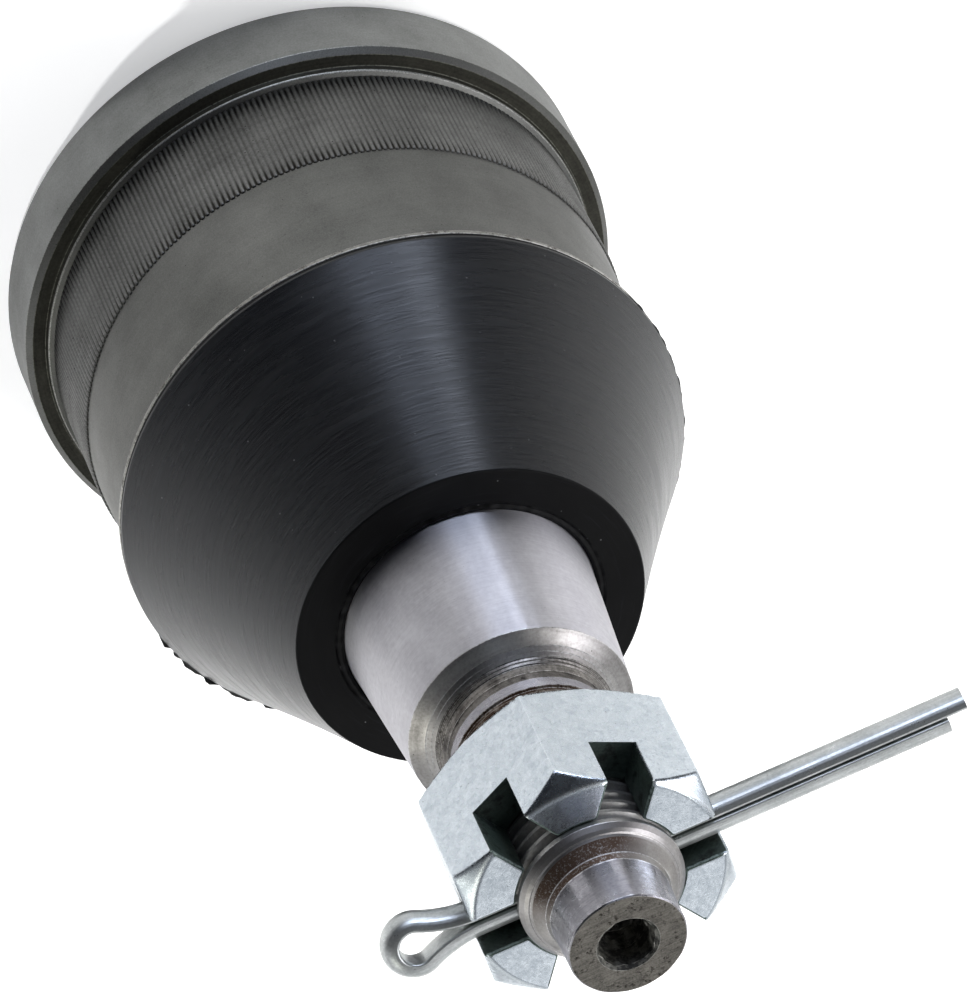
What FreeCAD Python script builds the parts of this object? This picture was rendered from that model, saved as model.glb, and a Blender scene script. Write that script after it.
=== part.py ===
import FreeCAD
import Part

import math
import os

from FreeCAD import Vector

# Press-in suspension ball joint, in millimetres.
# The origin is the centre of the ball. +Z runs up the stud, and the flange's rear face is the lowest one.
# +X points to the eye of the cotter pin.

# Ball
BALL_R = 17.5
BALL_FLAT_R = 10.9
BALL_CROWN_R = 10.3
LARGEST_LEAN = 22.0

# Stud
NECK_R = 9.4
NECK_Z = 18.5
LAND_R = 12.4
LAND_Z = 28.0
LAND_LENGTH = 11.8
TAPER_LENGTH = 17.1
TAPER_PER_LENGTH = 1.0 / 6.0
SHANK_SHOULDER_ANGLE = 32.0
SHANK_FILLET = 0.8
THREAD_R = 7.94
THREAD_CHAMFER = 0.45
THREAD_PAST_NUT = 0.9
THREAD_END_RISE = 1.5
PILOT_R = 5.7
PILOT_LENGTH = 7.4
PILOT_CHAMFER = 0.25
PILOT_FILLET = 0.4
CENTRE_HOLE_R = 2.7
CENTRE_HOLE_DEPTH = 6.5
CENTRE_HOLE_CHAMFER = 0.3
DRILL_POINT_ANGLE = 59.0

# Slotted nut
NUT_ACROSS_FLATS = 24.1
NUT_HEIGHT = 13.9
NUT_PAST_TAPER = 10.9
NUT_SIDES = 6
NUT_SLOT_DEPTH = 5.8
NUT_TOP_CHAMFER_ANGLE = 38.0
NUT_BASE_CHAMFER_ANGLE = 32.0
NUT_FLAT_EDGE = 0.1
NUT_BORE_CHAMFER = 0.6
NUT_THREAD_PLAY = 0.05

# Cotter pin, lengths from the axis of the stud
COTTER_D = 3.5
COTTER_LONG_LEG = 37.0
COTTER_SHORT_LEG = 35.0
COTTER_LEG_GAP = 0.2
COTTER_NECK_X = 11.2
COTTER_EYE_X = 17.5
COTTER_EYE_R = 1.5
COTTER_ROLL = 23.0
COTTER_OVER_SLOT_FLOOR = 1.05
COTTER_HOLE_PLAY = 0.25
COTTER_SLOT_PLAY = 0.45

# Bearings and what holds them
BEARING_WALL = 3.9
BEARING_FIT = 0.05
BEARING_SPLIT = 0.5
BEARING_LIP_MARGIN = 2.5
BEARING_TOP_LEDGE = 2.2
BEARING_FLOOR = 2.425
BEARING_HOLE_R = 11.0
BEARING_CHAMFER = 0.6
SPRING_THICKNESS = 0.9
SPRING_CONE = 0.55
SPRING_HOLE_R = 12.0
SPRING_EDGE_PLAY = 0.5
COVER_THICKNESS = 2.5
COVER_SEAT_WIDTH = 2.0
COVER_DISH_R = 8.0
COVER_DISH_DEPTH = 0.5
COVER_FIT = 0.05
LIP_THICKNESS = 0.9
LIP_REACH = 2.2

# Housing
HOUSING_WALL = 6.25
THROAT_PLAY = 0.7
FLANGE_WIDTH = 2.5
FLANGE_HEIGHT = 8.5
FLANGE_CHAMFER = 0.6
BAND_FILLET = 0.7
BAND_LENGTH = 13.1
SHOULDER_STEP = 0.2
SHOULDER_TAPER = 1.2
LEDGE_OVER_BEARING = 5.95
SPIGOT_WALL = 2.6
SPIGOT_HEIGHT = 3.4
SPIGOT_CHAMFER = 0.5

# Boot and its rings
BASE_RING_THICKNESS = 0.9
BASE_RING_FLANGE = 0.5
BASE_RING_FLANGE_IN = 0.6
BASE_RING_HEIGHT = 3.0
NECK_RING_THICKNESS = 1.9
NECK_RING_HEIGHT = 3.8
NECK_RING_CHAMFER = 0.3
BOOT_UNDER_BAND = 0.1
BOOT_RIM_HEIGHT = 0.9
BOOT_RIM_ROUND = 0.4
BOOT_HOLLOW = 0.2
BOOT_WALL = 3.4
BOOT_NECK_WALL = 2.5
BOOT_LIP = 0.9
BOOT_GAP = 0.3
BOOT_PAST_LAND = 0.7

ORIGIN = Vector(0, 0, 0)
UP = Vector(0, 0, 1)
SAME_POINT = 1e-7


def at(radius, height):
    """Return the point of a profile at this radius and height."""
    return Vector(radius, 0, height)


def outline(items):
    """Join points into a closed profile, where a triple of points is an arc that starts at its first one."""
    edges = []
    last = items[-1][2] if isinstance(items[-1], tuple) else items[-1]
    for item in items:
        start = item[0] if isinstance(item, tuple) else item
        if last.distanceToPoint(start) > SAME_POINT:
            edges.append(Part.makeLine(last, start))
        last = start
        if isinstance(item, tuple):
            edges.append(Part.Arc(*item).toShape())
            last = item[2]
    return edges


def spun(items):
    """Turn a closed profile into a solid of revolution about the stud's axis."""
    face = Part.Face(Part.Wire(outline(items)))
    return face.revolve(ORIGIN, UP, 360)


def ball_z(radius, sphere_r):
    """Return the height over the ball's centre at which a sphere has this radius."""
    return math.sqrt(sphere_r ** 2 - radius ** 2)


def ball_arc(sphere_r, start_z, end_z):
    """Return the arc of a sphere about the ball's centre between two heights."""
    first = math.acos(start_z / sphere_r)
    final = math.acos(end_z / sphere_r)
    turns = (first, (first + final) / 2, final)
    return tuple(at(sphere_r * math.sin(turn), sphere_r * math.cos(turn)) for turn in turns)


def foot_fillet(radius, height, size):
    """Return the arc that fills the corner where a cylinder stands on a flat face."""
    shift = size * (1 - math.sqrt(0.5))
    return (at(radius + size, height), at(radius + shift, height + shift), at(radius, height + size))


def hollow_arc(start, end, depth):
    """Return the arc from a lower to a higher point that lies this far inside their straight line."""
    run = end - start
    inwards = Vector(-run.z, 0, run.x).normalize()
    return (start, start + run * 0.5 + inwards * depth, end)


def leaned(radius, height):
    """Return the reach and height of a point of the stud when the stud leans as far as it goes."""
    lean = math.radians(LARGEST_LEAN)
    reach = height * math.sin(lean) + radius * math.cos(lean)
    level = height * math.cos(lean) - radius * math.sin(lean)
    return reach, level


def lean_reach(level):
    """Return how far out the leaning stud reaches at a height, along straight lines between its corners."""
    crown = leaned(BALL_CROWN_R, ball_z(BALL_CROWN_R, BALL_R))
    neck = leaned(NECK_R, NECK_Z)
    land = leaned(LAND_R, LAND_Z)
    low, high = (crown, neck) if level < neck[1] else (neck, land)
    share = (level - low[1]) / (high[1] - low[1])
    return low[0] + share * (high[0] - low[0])


# Bearing shells round the ball
CUP_R = BALL_R + BEARING_FIT
BEARING_R = BALL_R + BEARING_WALL
LIP_ANGLE = math.asin(BALL_CROWN_R / BALL_R) + math.radians(LARGEST_LEAN + BEARING_LIP_MARGIN)
BEARING_LIP_Z = CUP_R * math.cos(LIP_ANGLE)
BEARING_TOP_Z = BEARING_LIP_Z + BEARING_TOP_LEDGE
BEARING_HOLE_Z = -ball_z(BEARING_HOLE_R, CUP_R)
BEARING_BASE_Z = BEARING_HOLE_Z - BEARING_FLOOR

# Spring, cover plate and rolled lip under the bearings
BORE_R = BEARING_R + BEARING_FIT
SPRING_R = BORE_R - SPRING_EDGE_PLAY
SPRING_TOP_Z = BEARING_BASE_Z - BEARING_FIT
COVER_R = BORE_R + COVER_SEAT_WIDTH
COVER_TOP_Z = SPRING_TOP_Z - SPRING_THICKNESS - SPRING_CONE
COVER_BASE_Z = COVER_TOP_Z - COVER_THICKNESS
BASE_Z = COVER_BASE_Z - LIP_THICKNESS

# Outside and throat of the housing
BAND_R = BORE_R + HOUSING_WALL
BAND_Z = BASE_Z + FLANGE_HEIGHT
BAND_TOP_Z = BAND_Z + BAND_FILLET + BAND_LENGTH
FLANGE_R = BAND_R + FLANGE_WIDTH
THROAT_Z = BEARING_TOP_Z + BEARING_FIT
THROAT_R = lean_reach(THROAT_Z) + THROAT_PLAY
LEDGE_Z = THROAT_Z + LEDGE_OVER_BEARING
SPIGOT_TOP_Z = LEDGE_Z + SPIGOT_HEIGHT
THROAT_TOP_R = lean_reach(SPIGOT_TOP_Z) + THROAT_PLAY
SPIGOT_R = THROAT_TOP_R + SPIGOT_WALL

# Levels of the stud, the nut and the cotter pin
TAPER_Z = LAND_Z + LAND_LENGTH
TAPER_TOP_Z = TAPER_Z + TAPER_LENGTH
TAPER_TOP_R = LAND_R - TAPER_LENGTH * TAPER_PER_LENGTH / 2
NUT_Z = TAPER_TOP_Z + NUT_PAST_TAPER
NUT_TOP_Z = NUT_Z + NUT_HEIGHT
NUT_SLOT_Z = NUT_TOP_Z - NUT_SLOT_DEPTH
NUT_SLOT_WIDTH = COTTER_D + 2 * COTTER_SLOT_PLAY
NUT_TURN = 360 / NUT_SIDES
NUT_CORNER_R = NUT_ACROSS_FLATS / 2 / math.cos(math.radians(NUT_TURN / 2))
NUT_FACE_R = NUT_ACROSS_FLATS / 2 - NUT_FLAT_EDGE
THREAD_TOP_Z = NUT_TOP_Z + THREAD_PAST_NUT
PILOT_TOP_Z = THREAD_TOP_Z + PILOT_LENGTH
COTTER_Z = NUT_SLOT_Z + COTTER_D / 2 + COTTER_OVER_SLOT_FLOOR
COTTER_HOLE_R = COTTER_D / 2 + COTTER_HOLE_PLAY

# Boot, its base ring on the spigot and its neck ring on the stud's land
BASE_RING_Z = LEDGE_Z + BEARING_FIT
BASE_RING_TOP_Z = BASE_RING_Z + BASE_RING_HEIGHT
BASE_RING_BORE_R = SPIGOT_R + BEARING_FIT
BASE_RING_R = BASE_RING_BORE_R + BASE_RING_THICKNESS
BOOT_R = BAND_R - BOOT_UNDER_BAND
BOOT_Z = BASE_RING_Z + BASE_RING_FLANGE
BOOT_TOP_Z = TAPER_Z + BOOT_PAST_LAND
NECK_RING_TOP_Z = BOOT_TOP_Z - BOOT_LIP - BOOT_GAP
NECK_RING_Z = NECK_RING_TOP_Z - NECK_RING_HEIGHT
NECK_RING_BORE_R = LAND_R + BEARING_FIT
NECK_RING_R = NECK_RING_BORE_R + NECK_RING_THICKNESS
BOOT_POCKET_R = NECK_RING_R + BOOT_GAP
BOOT_TOP_R = BOOT_POCKET_R + BOOT_NECK_WALL
BOOT_LIP_R = LAND_R + BOOT_GAP


def housing():
    """Forged body: flange, press-fit band, tapering shoulder, spigot for the boot, and the rolled lip."""
    lip_tip_r = COVER_R - LIP_REACH
    lip_turn_r = lip_tip_r + LIP_THICKNESS / 3
    lip_root_r = COVER_R + LIP_THICKNESS
    lip_tip = (
        at(lip_turn_r, COVER_BASE_Z),
        at(lip_tip_r, COVER_BASE_Z - LIP_THICKNESS / 3),
        at(lip_turn_r, COVER_BASE_Z - 2 * LIP_THICKNESS / 3),
    )
    return spun([
        at(FLANGE_R - FLANGE_CHAMFER, BASE_Z),
        at(FLANGE_R, BASE_Z + FLANGE_CHAMFER),
        at(FLANGE_R, BAND_Z - FLANGE_CHAMFER),
        at(FLANGE_R - FLANGE_CHAMFER, BAND_Z),
        foot_fillet(BAND_R, BAND_Z, BAND_FILLET),
        at(BAND_R, BAND_TOP_Z),
        at(BAND_R - SHOULDER_STEP, BAND_TOP_Z + SHOULDER_STEP),
        at(BAND_R - SHOULDER_TAPER, LEDGE_Z),
        at(SPIGOT_R, LEDGE_Z),
        at(SPIGOT_R, SPIGOT_TOP_Z - SPIGOT_CHAMFER),
        at(SPIGOT_R - SPIGOT_CHAMFER, SPIGOT_TOP_Z),
        at(THROAT_TOP_R, SPIGOT_TOP_Z),
        at(THROAT_R, THROAT_Z),
        ball_arc(BORE_R, THROAT_Z, 0),
        at(BORE_R, COVER_TOP_Z),
        at(COVER_R, COVER_TOP_Z),
        at(COVER_R, COVER_BASE_Z),
        lip_tip,
        at(lip_root_r, BASE_Z),
    ])


def cover_plate():
    """Pressed disc under the rolled lip, dished towards the ball in its middle."""
    dish_edge_r = COVER_DISH_R + COVER_DISH_DEPTH
    rim_r = COVER_R - COVER_FIT
    return spun([
        at(0, COVER_BASE_Z + COVER_DISH_DEPTH),
        at(COVER_DISH_R, COVER_BASE_Z + COVER_DISH_DEPTH),
        at(dish_edge_r, COVER_BASE_Z),
        at(rim_r, COVER_BASE_Z),
        at(rim_r, COVER_TOP_Z),
        at(dish_edge_r, COVER_TOP_Z),
        at(COVER_DISH_R, COVER_TOP_Z + COVER_DISH_DEPTH),
        at(0, COVER_TOP_Z + COVER_DISH_DEPTH),
    ])


def preload_spring():
    """Conical spring washer between the cover plate and the lower bearing."""
    return spun([
        at(SPRING_HOLE_R, SPRING_TOP_Z - SPRING_THICKNESS),
        at(SPRING_R, COVER_TOP_Z),
        at(SPRING_R, COVER_TOP_Z + SPRING_THICKNESS),
        at(SPRING_HOLE_R, SPRING_TOP_Z),
    ])


def upper_bearing():
    """Upper shell, which takes the pull of the ball against the seat in the housing."""
    return spun([
        ball_arc(CUP_R, BEARING_SPLIT / 2, BEARING_LIP_Z),
        at(THROAT_R, BEARING_TOP_Z),
        ball_arc(BEARING_R, BEARING_TOP_Z, BEARING_SPLIT / 2),
    ])


def lower_bearing():
    """Lower shell, which the spring presses up against the ball."""
    return spun([
        at(BEARING_HOLE_R, BEARING_BASE_Z),
        at(BEARING_R - BEARING_CHAMFER, BEARING_BASE_Z),
        at(BEARING_R, BEARING_BASE_Z + BEARING_CHAMFER),
        at(BEARING_R, -BEARING_SPLIT / 2),
        ball_arc(CUP_R, -BEARING_SPLIT / 2, BEARING_HOLE_Z),
    ])


def ball_stud():
    """One forging: ball, waist, seal land, taper, shank and pilot, drilled across for the cotter pin."""
    crown_z = ball_z(BALL_CROWN_R, BALL_R)
    shoulder_r = THREAD_R + SHANK_FILLET
    shoulder_z = TAPER_TOP_Z + (TAPER_TOP_R - shoulder_r) * math.tan(math.radians(SHANK_SHOULDER_ANGLE))
    pilot_z = THREAD_TOP_Z + THREAD_END_RISE
    hole_floor_z = PILOT_TOP_Z - CENTRE_HOLE_DEPTH
    drill_point = CENTRE_HOLE_R / math.tan(math.radians(DRILL_POINT_ANGLE))
    blank = spun([
        at(0, -ball_z(BALL_FLAT_R, BALL_R)),
        ball_arc(BALL_R, -ball_z(BALL_FLAT_R, BALL_R), crown_z),
        (at(BALL_CROWN_R, crown_z), at(NECK_R, NECK_Z), at(LAND_R, LAND_Z)),
        at(LAND_R, TAPER_Z),
        at(TAPER_TOP_R, TAPER_TOP_Z),
        foot_fillet(THREAD_R, shoulder_z, SHANK_FILLET),
        at(THREAD_R, THREAD_TOP_Z - THREAD_CHAMFER),
        at(THREAD_R - THREAD_CHAMFER, THREAD_TOP_Z),
        foot_fillet(PILOT_R, pilot_z, PILOT_FILLET),
        at(PILOT_R, PILOT_TOP_Z - PILOT_CHAMFER),
        at(PILOT_R - PILOT_CHAMFER, PILOT_TOP_Z),
        at(CENTRE_HOLE_R + CENTRE_HOLE_CHAMFER, PILOT_TOP_Z),
        at(CENTRE_HOLE_R, PILOT_TOP_Z - CENTRE_HOLE_CHAMFER),
        at(CENTRE_HOLE_R, hole_floor_z),
        at(0, hole_floor_z - drill_point),
    ])
    drill = Part.makeCylinder(COTTER_HOLE_R, 4 * THREAD_R, Vector(-2 * THREAD_R, 0, COTTER_Z), Vector(1, 0, 0))
    return blank.cut(drill)


def boot_base_ring():
    """Steel ring of angle section in the boot's wide end, which sits on the housing's spigot."""
    flange_r = BOOT_R - BASE_RING_FLANGE_IN
    return spun([
        at(BASE_RING_BORE_R, BASE_RING_Z),
        at(flange_r, BASE_RING_Z),
        at(flange_r, BOOT_Z),
        at(BASE_RING_R, BOOT_Z),
        at(BASE_RING_R, BASE_RING_TOP_Z),
        at(BASE_RING_BORE_R, BASE_RING_TOP_Z),
    ])


def boot_neck_ring():
    """Slide ring in the boot's narrow end, which runs on the stud's land."""
    return spun([
        at(NECK_RING_BORE_R, NECK_RING_Z),
        at(NECK_RING_R - NECK_RING_CHAMFER, NECK_RING_Z),
        at(NECK_RING_R, NECK_RING_Z + NECK_RING_CHAMFER),
        at(NECK_RING_R, NECK_RING_TOP_Z - NECK_RING_CHAMFER),
        at(NECK_RING_R - NECK_RING_CHAMFER, NECK_RING_TOP_Z),
        at(NECK_RING_BORE_R, NECK_RING_TOP_Z),
    ])


def boot():
    """Rubber boot: a thick, faintly hollow cone, open on its base ring and closed round the stud by two lips."""
    rim_top = at(BOOT_R, BOOT_Z + BOOT_RIM_HEIGHT)
    top_edge = at(BOOT_TOP_R, BOOT_TOP_Z)
    slope = (top_edge - rim_top).normalize()
    side_wall = BOOT_WALL / slope.z
    pocket_z = NECK_RING_Z - BOOT_GAP
    pocket_top_z = NECK_RING_TOP_Z + BOOT_GAP
    inner_lip_z = pocket_z - BOOT_LIP
    cone_r = BOOT_TOP_R + (inner_lip_z - BOOT_TOP_Z) * slope.x / slope.z
    cavity_foot = at(BASE_RING_BORE_R + BOOT_GAP, BASE_RING_TOP_Z)
    cavity_top = at(cone_r - side_wall, inner_lip_z)
    round_shift = BOOT_RIM_ROUND * math.sqrt(0.5)
    rim_round = (
        at(BOOT_R - BOOT_RIM_ROUND, BOOT_Z),
        at(BOOT_R - BOOT_RIM_ROUND + round_shift, BOOT_Z + BOOT_RIM_ROUND - round_shift),
        at(BOOT_R, BOOT_Z + BOOT_RIM_ROUND),
    )
    return spun([
        at(BASE_RING_R, BOOT_Z),
        rim_round,
        hollow_arc(rim_top, top_edge, BOOT_HOLLOW),
        at(BOOT_LIP_R, BOOT_TOP_Z),
        at(BOOT_LIP_R, pocket_top_z),
        at(BOOT_POCKET_R, pocket_top_z),
        at(BOOT_POCKET_R, pocket_z),
        at(BOOT_LIP_R, pocket_z),
        at(BOOT_LIP_R, inner_lip_z),
        cavity_top,
        cavity_foot,
        at(BASE_RING_R, BASE_RING_TOP_Z),
    ])


def castle_nut():
    """Hexagon nut with chamfered ends and a slot through the middle of each flat."""
    corners = []
    for side in range(NUT_SIDES + 1):
        turn = math.radians(NUT_TURN * (side + 0.5))
        corners.append(Vector(NUT_CORNER_R * math.cos(turn), NUT_CORNER_R * math.sin(turn), NUT_Z))
    prism = Part.Face(Part.makePolygon(corners)).extrude(UP * NUT_HEIGHT)
    corner_width = NUT_CORNER_R - NUT_FACE_R
    base_drop = corner_width * math.tan(math.radians(NUT_BASE_CHAMFER_ANGLE))
    top_drop = corner_width * math.tan(math.radians(NUT_TOP_CHAMFER_ANGLE))
    bore_r = THREAD_R + NUT_THREAD_PLAY
    turned = spun([
        at(bore_r + NUT_BORE_CHAMFER, NUT_Z),
        at(NUT_FACE_R, NUT_Z),
        at(NUT_CORNER_R, NUT_Z + base_drop),
        at(NUT_CORNER_R, NUT_TOP_Z - top_drop),
        at(NUT_FACE_R, NUT_TOP_Z),
        at(bore_r + NUT_BORE_CHAMFER, NUT_TOP_Z),
        at(bore_r, NUT_TOP_Z - NUT_BORE_CHAMFER),
        at(bore_r, NUT_Z + NUT_BORE_CHAMFER),
    ])
    nut = prism.common(turned)
    for pair in range(NUT_SIDES // 2):
        corner = Vector(-NUT_ACROSS_FLATS, -NUT_SLOT_WIDTH / 2, NUT_SLOT_Z)
        slot = Part.makeBox(2 * NUT_ACROSS_FLATS, NUT_SLOT_WIDTH, 2 * NUT_SLOT_DEPTH, corner)
        slot.rotate(ORIGIN, UP, pair * NUT_TURN)
        nut = nut.cut(slot)
    return nut


def cotter_section(x):
    """Return the face of one half-round wire across the pin, with its flat side towards the pin's axis."""
    flat_y = COTTER_LEG_GAP / 2
    edge_z = math.sqrt((COTTER_D / 2) ** 2 - flat_y ** 2)
    low = Vector(x, flat_y, -edge_z)
    high = Vector(x, flat_y, edge_z)
    back = Part.Arc(low, Vector(x, COTTER_D / 2, 0), high).toShape()
    return Part.Face(Part.Wire([back, Part.makeLine(high, low)]))


def cotter_pin():
    """Split pin of half-round wire: two straight legs that spread into an eye, lying across the stud."""
    run = COTTER_EYE_X - COTTER_NECK_X
    flat_y = COTTER_LEG_GAP / 2
    spread_r = (run ** 2 + flat_y ** 2 - COTTER_EYE_R ** 2) / (2 * (COTTER_EYE_R - flat_y))
    spread = math.degrees(math.atan2(run, flat_y + spread_r))
    spread_centre = Vector(COTTER_NECK_X, flat_y + spread_r, 0)
    neck = cotter_section(COTTER_NECK_X).revolve(spread_centre, UP, spread)
    eye_start = cotter_section(COTTER_NECK_X)
    eye_start.rotate(spread_centre, UP, spread)
    eye = eye_start.revolve(Vector(COTTER_EYE_X, 0, 0), UP, -2 * (90 + spread))
    short_leg = cotter_section(-COTTER_SHORT_LEG).extrude(Vector(COTTER_SHORT_LEG + COTTER_NECK_X, 0, 0))
    long_leg = cotter_section(-COTTER_LONG_LEG).extrude(Vector(COTTER_LONG_LEG + COTTER_NECK_X, 0, 0))
    mirror_plane = Vector(0, 1, 0)
    far_side = [long_leg.mirror(ORIGIN, mirror_plane), neck.mirror(ORIGIN, mirror_plane)]
    pin = short_leg.fuse([neck, eye] + far_side).removeSplitter()
    pin.rotate(ORIGIN, Vector(1, 0, 0), COTTER_ROLL)
    pin.translate(Vector(0, 0, COTTER_Z))
    return pin


SUB_PARTS = (
    housing,
    cover_plate,
    preload_spring,
    lower_bearing,
    upper_bearing,
    ball_stud,
    boot_base_ring,
    boot_neck_ring,
    boot,
    castle_nut,
    cotter_pin,
)

os.makedirs("parts", exist_ok=True)
for make in SUB_PARTS:
    solid = make().Solids[0]
    solid.exportStep("parts/" + make.__name__ + ".step")
    print(make.__name__, round(solid.Volume), solid.isValid())
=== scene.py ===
import logging
import math
from dataclasses import dataclass
from enum import Enum
from functools import partial
from typing import Callable, Sequence

import bpy
import numpy as np
from mathutils import Matrix, Vector


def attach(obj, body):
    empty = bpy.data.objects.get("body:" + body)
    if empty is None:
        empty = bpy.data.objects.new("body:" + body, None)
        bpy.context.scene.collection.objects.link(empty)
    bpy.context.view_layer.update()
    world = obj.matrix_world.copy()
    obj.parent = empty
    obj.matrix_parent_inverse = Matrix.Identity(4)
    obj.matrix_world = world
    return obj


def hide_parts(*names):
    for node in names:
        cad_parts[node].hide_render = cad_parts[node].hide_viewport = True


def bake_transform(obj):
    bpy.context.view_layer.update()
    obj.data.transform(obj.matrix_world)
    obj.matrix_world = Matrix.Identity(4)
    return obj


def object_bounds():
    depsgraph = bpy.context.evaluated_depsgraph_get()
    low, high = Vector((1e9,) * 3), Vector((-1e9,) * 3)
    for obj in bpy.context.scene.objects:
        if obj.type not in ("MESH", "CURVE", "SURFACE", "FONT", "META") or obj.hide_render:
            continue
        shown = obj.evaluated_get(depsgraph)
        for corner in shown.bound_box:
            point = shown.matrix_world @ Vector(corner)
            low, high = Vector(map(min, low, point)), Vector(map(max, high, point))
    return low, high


# Looks of a press-in suspension ball joint: finishes, finer shapes, studio and camera.
# Sizes in the classes are in millimetres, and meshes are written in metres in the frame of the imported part.
# The origin is the centre of the ball, +Z runs up the stud and +X points to the eye of the cotter pin.

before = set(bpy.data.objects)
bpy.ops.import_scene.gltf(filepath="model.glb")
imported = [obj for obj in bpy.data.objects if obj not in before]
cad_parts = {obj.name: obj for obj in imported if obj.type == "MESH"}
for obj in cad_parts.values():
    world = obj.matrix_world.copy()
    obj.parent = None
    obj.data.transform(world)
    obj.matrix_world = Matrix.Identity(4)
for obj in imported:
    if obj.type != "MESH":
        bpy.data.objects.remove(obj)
CAD_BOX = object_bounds()
LOG = logging.getLogger("ball_joint")

MM = 0.001
FLOOR_Z = CAD_BOX[0].z
WHITE = (1.0, 1.0, 1.0, 1.0)

# Settings that many nodes share: a mix of two colours, a range with soft ends, and a product.
COLOURS = {"data_type": "RGBA"}
SOFT = {"interpolation_type": "SMOOTHSTEP"}
TIMES = {"operation": "MULTIPLY"}

Node = bpy.types.Node
Tree = bpy.types.NodeTree
Socket = bpy.types.NodeSocket
Piece = bpy.types.Object
Array = np.ndarray
Section = list["Station"]
Shape = Callable[[Array, Array, Array], tuple[Array, Array]]
Solid = tuple[Array, list, list, Array]


class Body(Enum):
    """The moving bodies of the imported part."""

    BODY = "body"
    BOOT_AND_BEARING = "boot_and_bearing"
    BOOT_NECK = "boot_neck"
    STUD = "stud"
    PIN = "pin"


class Lay(Enum):
    """The direction in which a tool has left its lines."""

    ROUND = "round the axis of the stud"
    STRAIGHT = "straight along X"


# ---------------------------------------------------------------- nodes and colours


def linear(colour: str) -> tuple[float, float, float, float]:
    """Turn an sRGB hex colour into a linear one.

    Args:
        colour: The colour, written as #rrggbb.

    Returns:
        Red, green, blue and an alpha of 1.
    """
    values = [int(colour[i:i + 2], 16) / 255 for i in (1, 3, 5)]
    red, green, blue = (v / 12.92 if v <= 0.04045 else ((v + 0.055) / 1.055) ** 2.4 for v in values)
    return (red, green, blue, 1.0)


def feed(tree: Tree, node: Node, inputs: dict[str | int, object]) -> None:
    """Set or link inputs of a node.

    Args:
        tree: The node's tree.
        node: The node.
        inputs: Input sockets by name or number, each with its value or with what feeds it: a socket, or a
            node, which stands for its first output in use.
    """
    for key, value in inputs.items():
        if isinstance(value, Node):
            value = next(output for output in value.outputs if output.enabled)
        if isinstance(value, Socket):
            tree.links.new(value, node.inputs[key])
        else:
            node.inputs[key].default_value = value


def add_node(tree: Tree, kind: str, settings: dict[str, object] | None = None,
             inputs: dict[str | int, object] | None = None) -> Node:
    """Add a node to a tree, with its settings, its values and its links.

    Args:
        tree: The tree that gets the node.
        kind: The node's type, where a bare name means a shader node.
        settings: Properties of the node and their values.
        inputs: What feeds its inputs, as in feed.

    Returns:
        The new node.
    """
    node = tree.nodes.new(kind if "Node" in kind else "ShaderNode" + kind)
    for name, value in (settings or {}).items():
        setattr(node, name, value)
    feed(tree, node, inputs or {})
    return node


@dataclass(frozen=True)
class Place:
    """Sockets that say where a shaded point lies, in millimetres from the centre of the ball."""

    point: Socket
    x: Socket
    y: Socket
    z: Socket
    radius: Socket


def find_place(tree: Tree) -> Place:
    """Add the nodes that give a point's place.

    Args:
        tree: The material's tree.

    Returns:
        The sockets of the place.
    """
    add = partial(add_node, tree)
    point = add("VectorMath", {"operation": "SCALE"}, {0: add("TexCoord").outputs["Object"], "Scale": 1 / MM})
    parts = add("SeparateXYZ", {}, {0: point}).outputs
    flat = add("CombineXYZ", {}, {0: parts[0], 1: parts[1]})
    radius = add("VectorMath", {"operation": "LENGTH"}, {0: flat})
    return Place(point.outputs[0], *parts, radius.outputs["Value"])


def tool_lines(tree: Tree, place: Place, lay: Lay, pitch: float, length: float) -> Node:
    """Add a noise that is drawn out into lines, as a tool leaves them.

    Args:
        tree: The material's tree.
        place: The sockets of the place.
        lay: The direction of the lines.
        pitch: Distance between lines in millimetres.
        length: Rough length of a line in millimetres.

    Returns:
        The node of the pattern, which runs from 0 to 1.
    """
    add = partial(add_node, tree)
    if lay is Lay.ROUND:
        climb = add("Math", {"operation": "ADD"}, {0: place.z, 1: place.radius})
        drawn = add("CombineXYZ", {}, {0: place.x, 1: place.y, 2: climb})
        scale = (1 / length, 1 / length, 1 / pitch)
    else:
        drawn, scale = place.point, (1 / length, 1 / pitch, 1 / pitch)
    spread = add("VectorMath", TIMES, {0: drawn, 1: scale})
    return add("TexNoise", {}, {"Vector": spread, "Scale": 1.0, "Detail": 3.0, "Roughness": 0.6})


def lay_over(tree: Tree, below: Node, paint: str, pattern: Node | Socket, levels: tuple[float, float],
             strength: float, within: Node | None = None,
             settings: dict[str, object] | None = None) -> tuple[Node, Node]:
    """Lay a colour over another where a pattern has passed a level.

    Args:
        tree: The material's tree.
        below: The colour below.
        paint: The colour on top, written as #rrggbb.
        pattern: The pattern.
        levels: The pattern's value where the paint begins, and where it is strongest.
        strength: The paint's share there.
        within: A share that keeps the paint to one place, or None.
        settings: Settings of the range between the two levels.

    Returns:
        The paint's share at each point, and the new colour.
    """
    start, end = levels
    share = add_node(tree, "MapRange", settings, {0: pattern, 1: start, 2: end, 3: 0.0, 4: strength})
    if within is not None:
        share = add_node(tree, "Math", TIMES, {0: share, 1: within})
    return share, add_node(tree, "Mix", COLOURS, {0: share, 6: below, 7: linear(paint)})


def add_relief(tree: Tree, *waves: tuple[Node, float]) -> Node:
    """Raise and sink a surface by patterns, one over the other.

    Args:
        tree: The material's tree.
        waves: Each pattern and its depth in millimetres.

    Returns:
        The node of the last bump.
    """
    below: dict[str, Node] = {}
    for pattern, depth in waves:
        sizes = {"Strength": 1.0, "Distance": depth * MM}
        below = {"Normal": add_node(tree, "Bump", {}, {**sizes, "Height": pattern, **below})}
    return below["Normal"]


# ---------------------------------------------------------------- finishes


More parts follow.
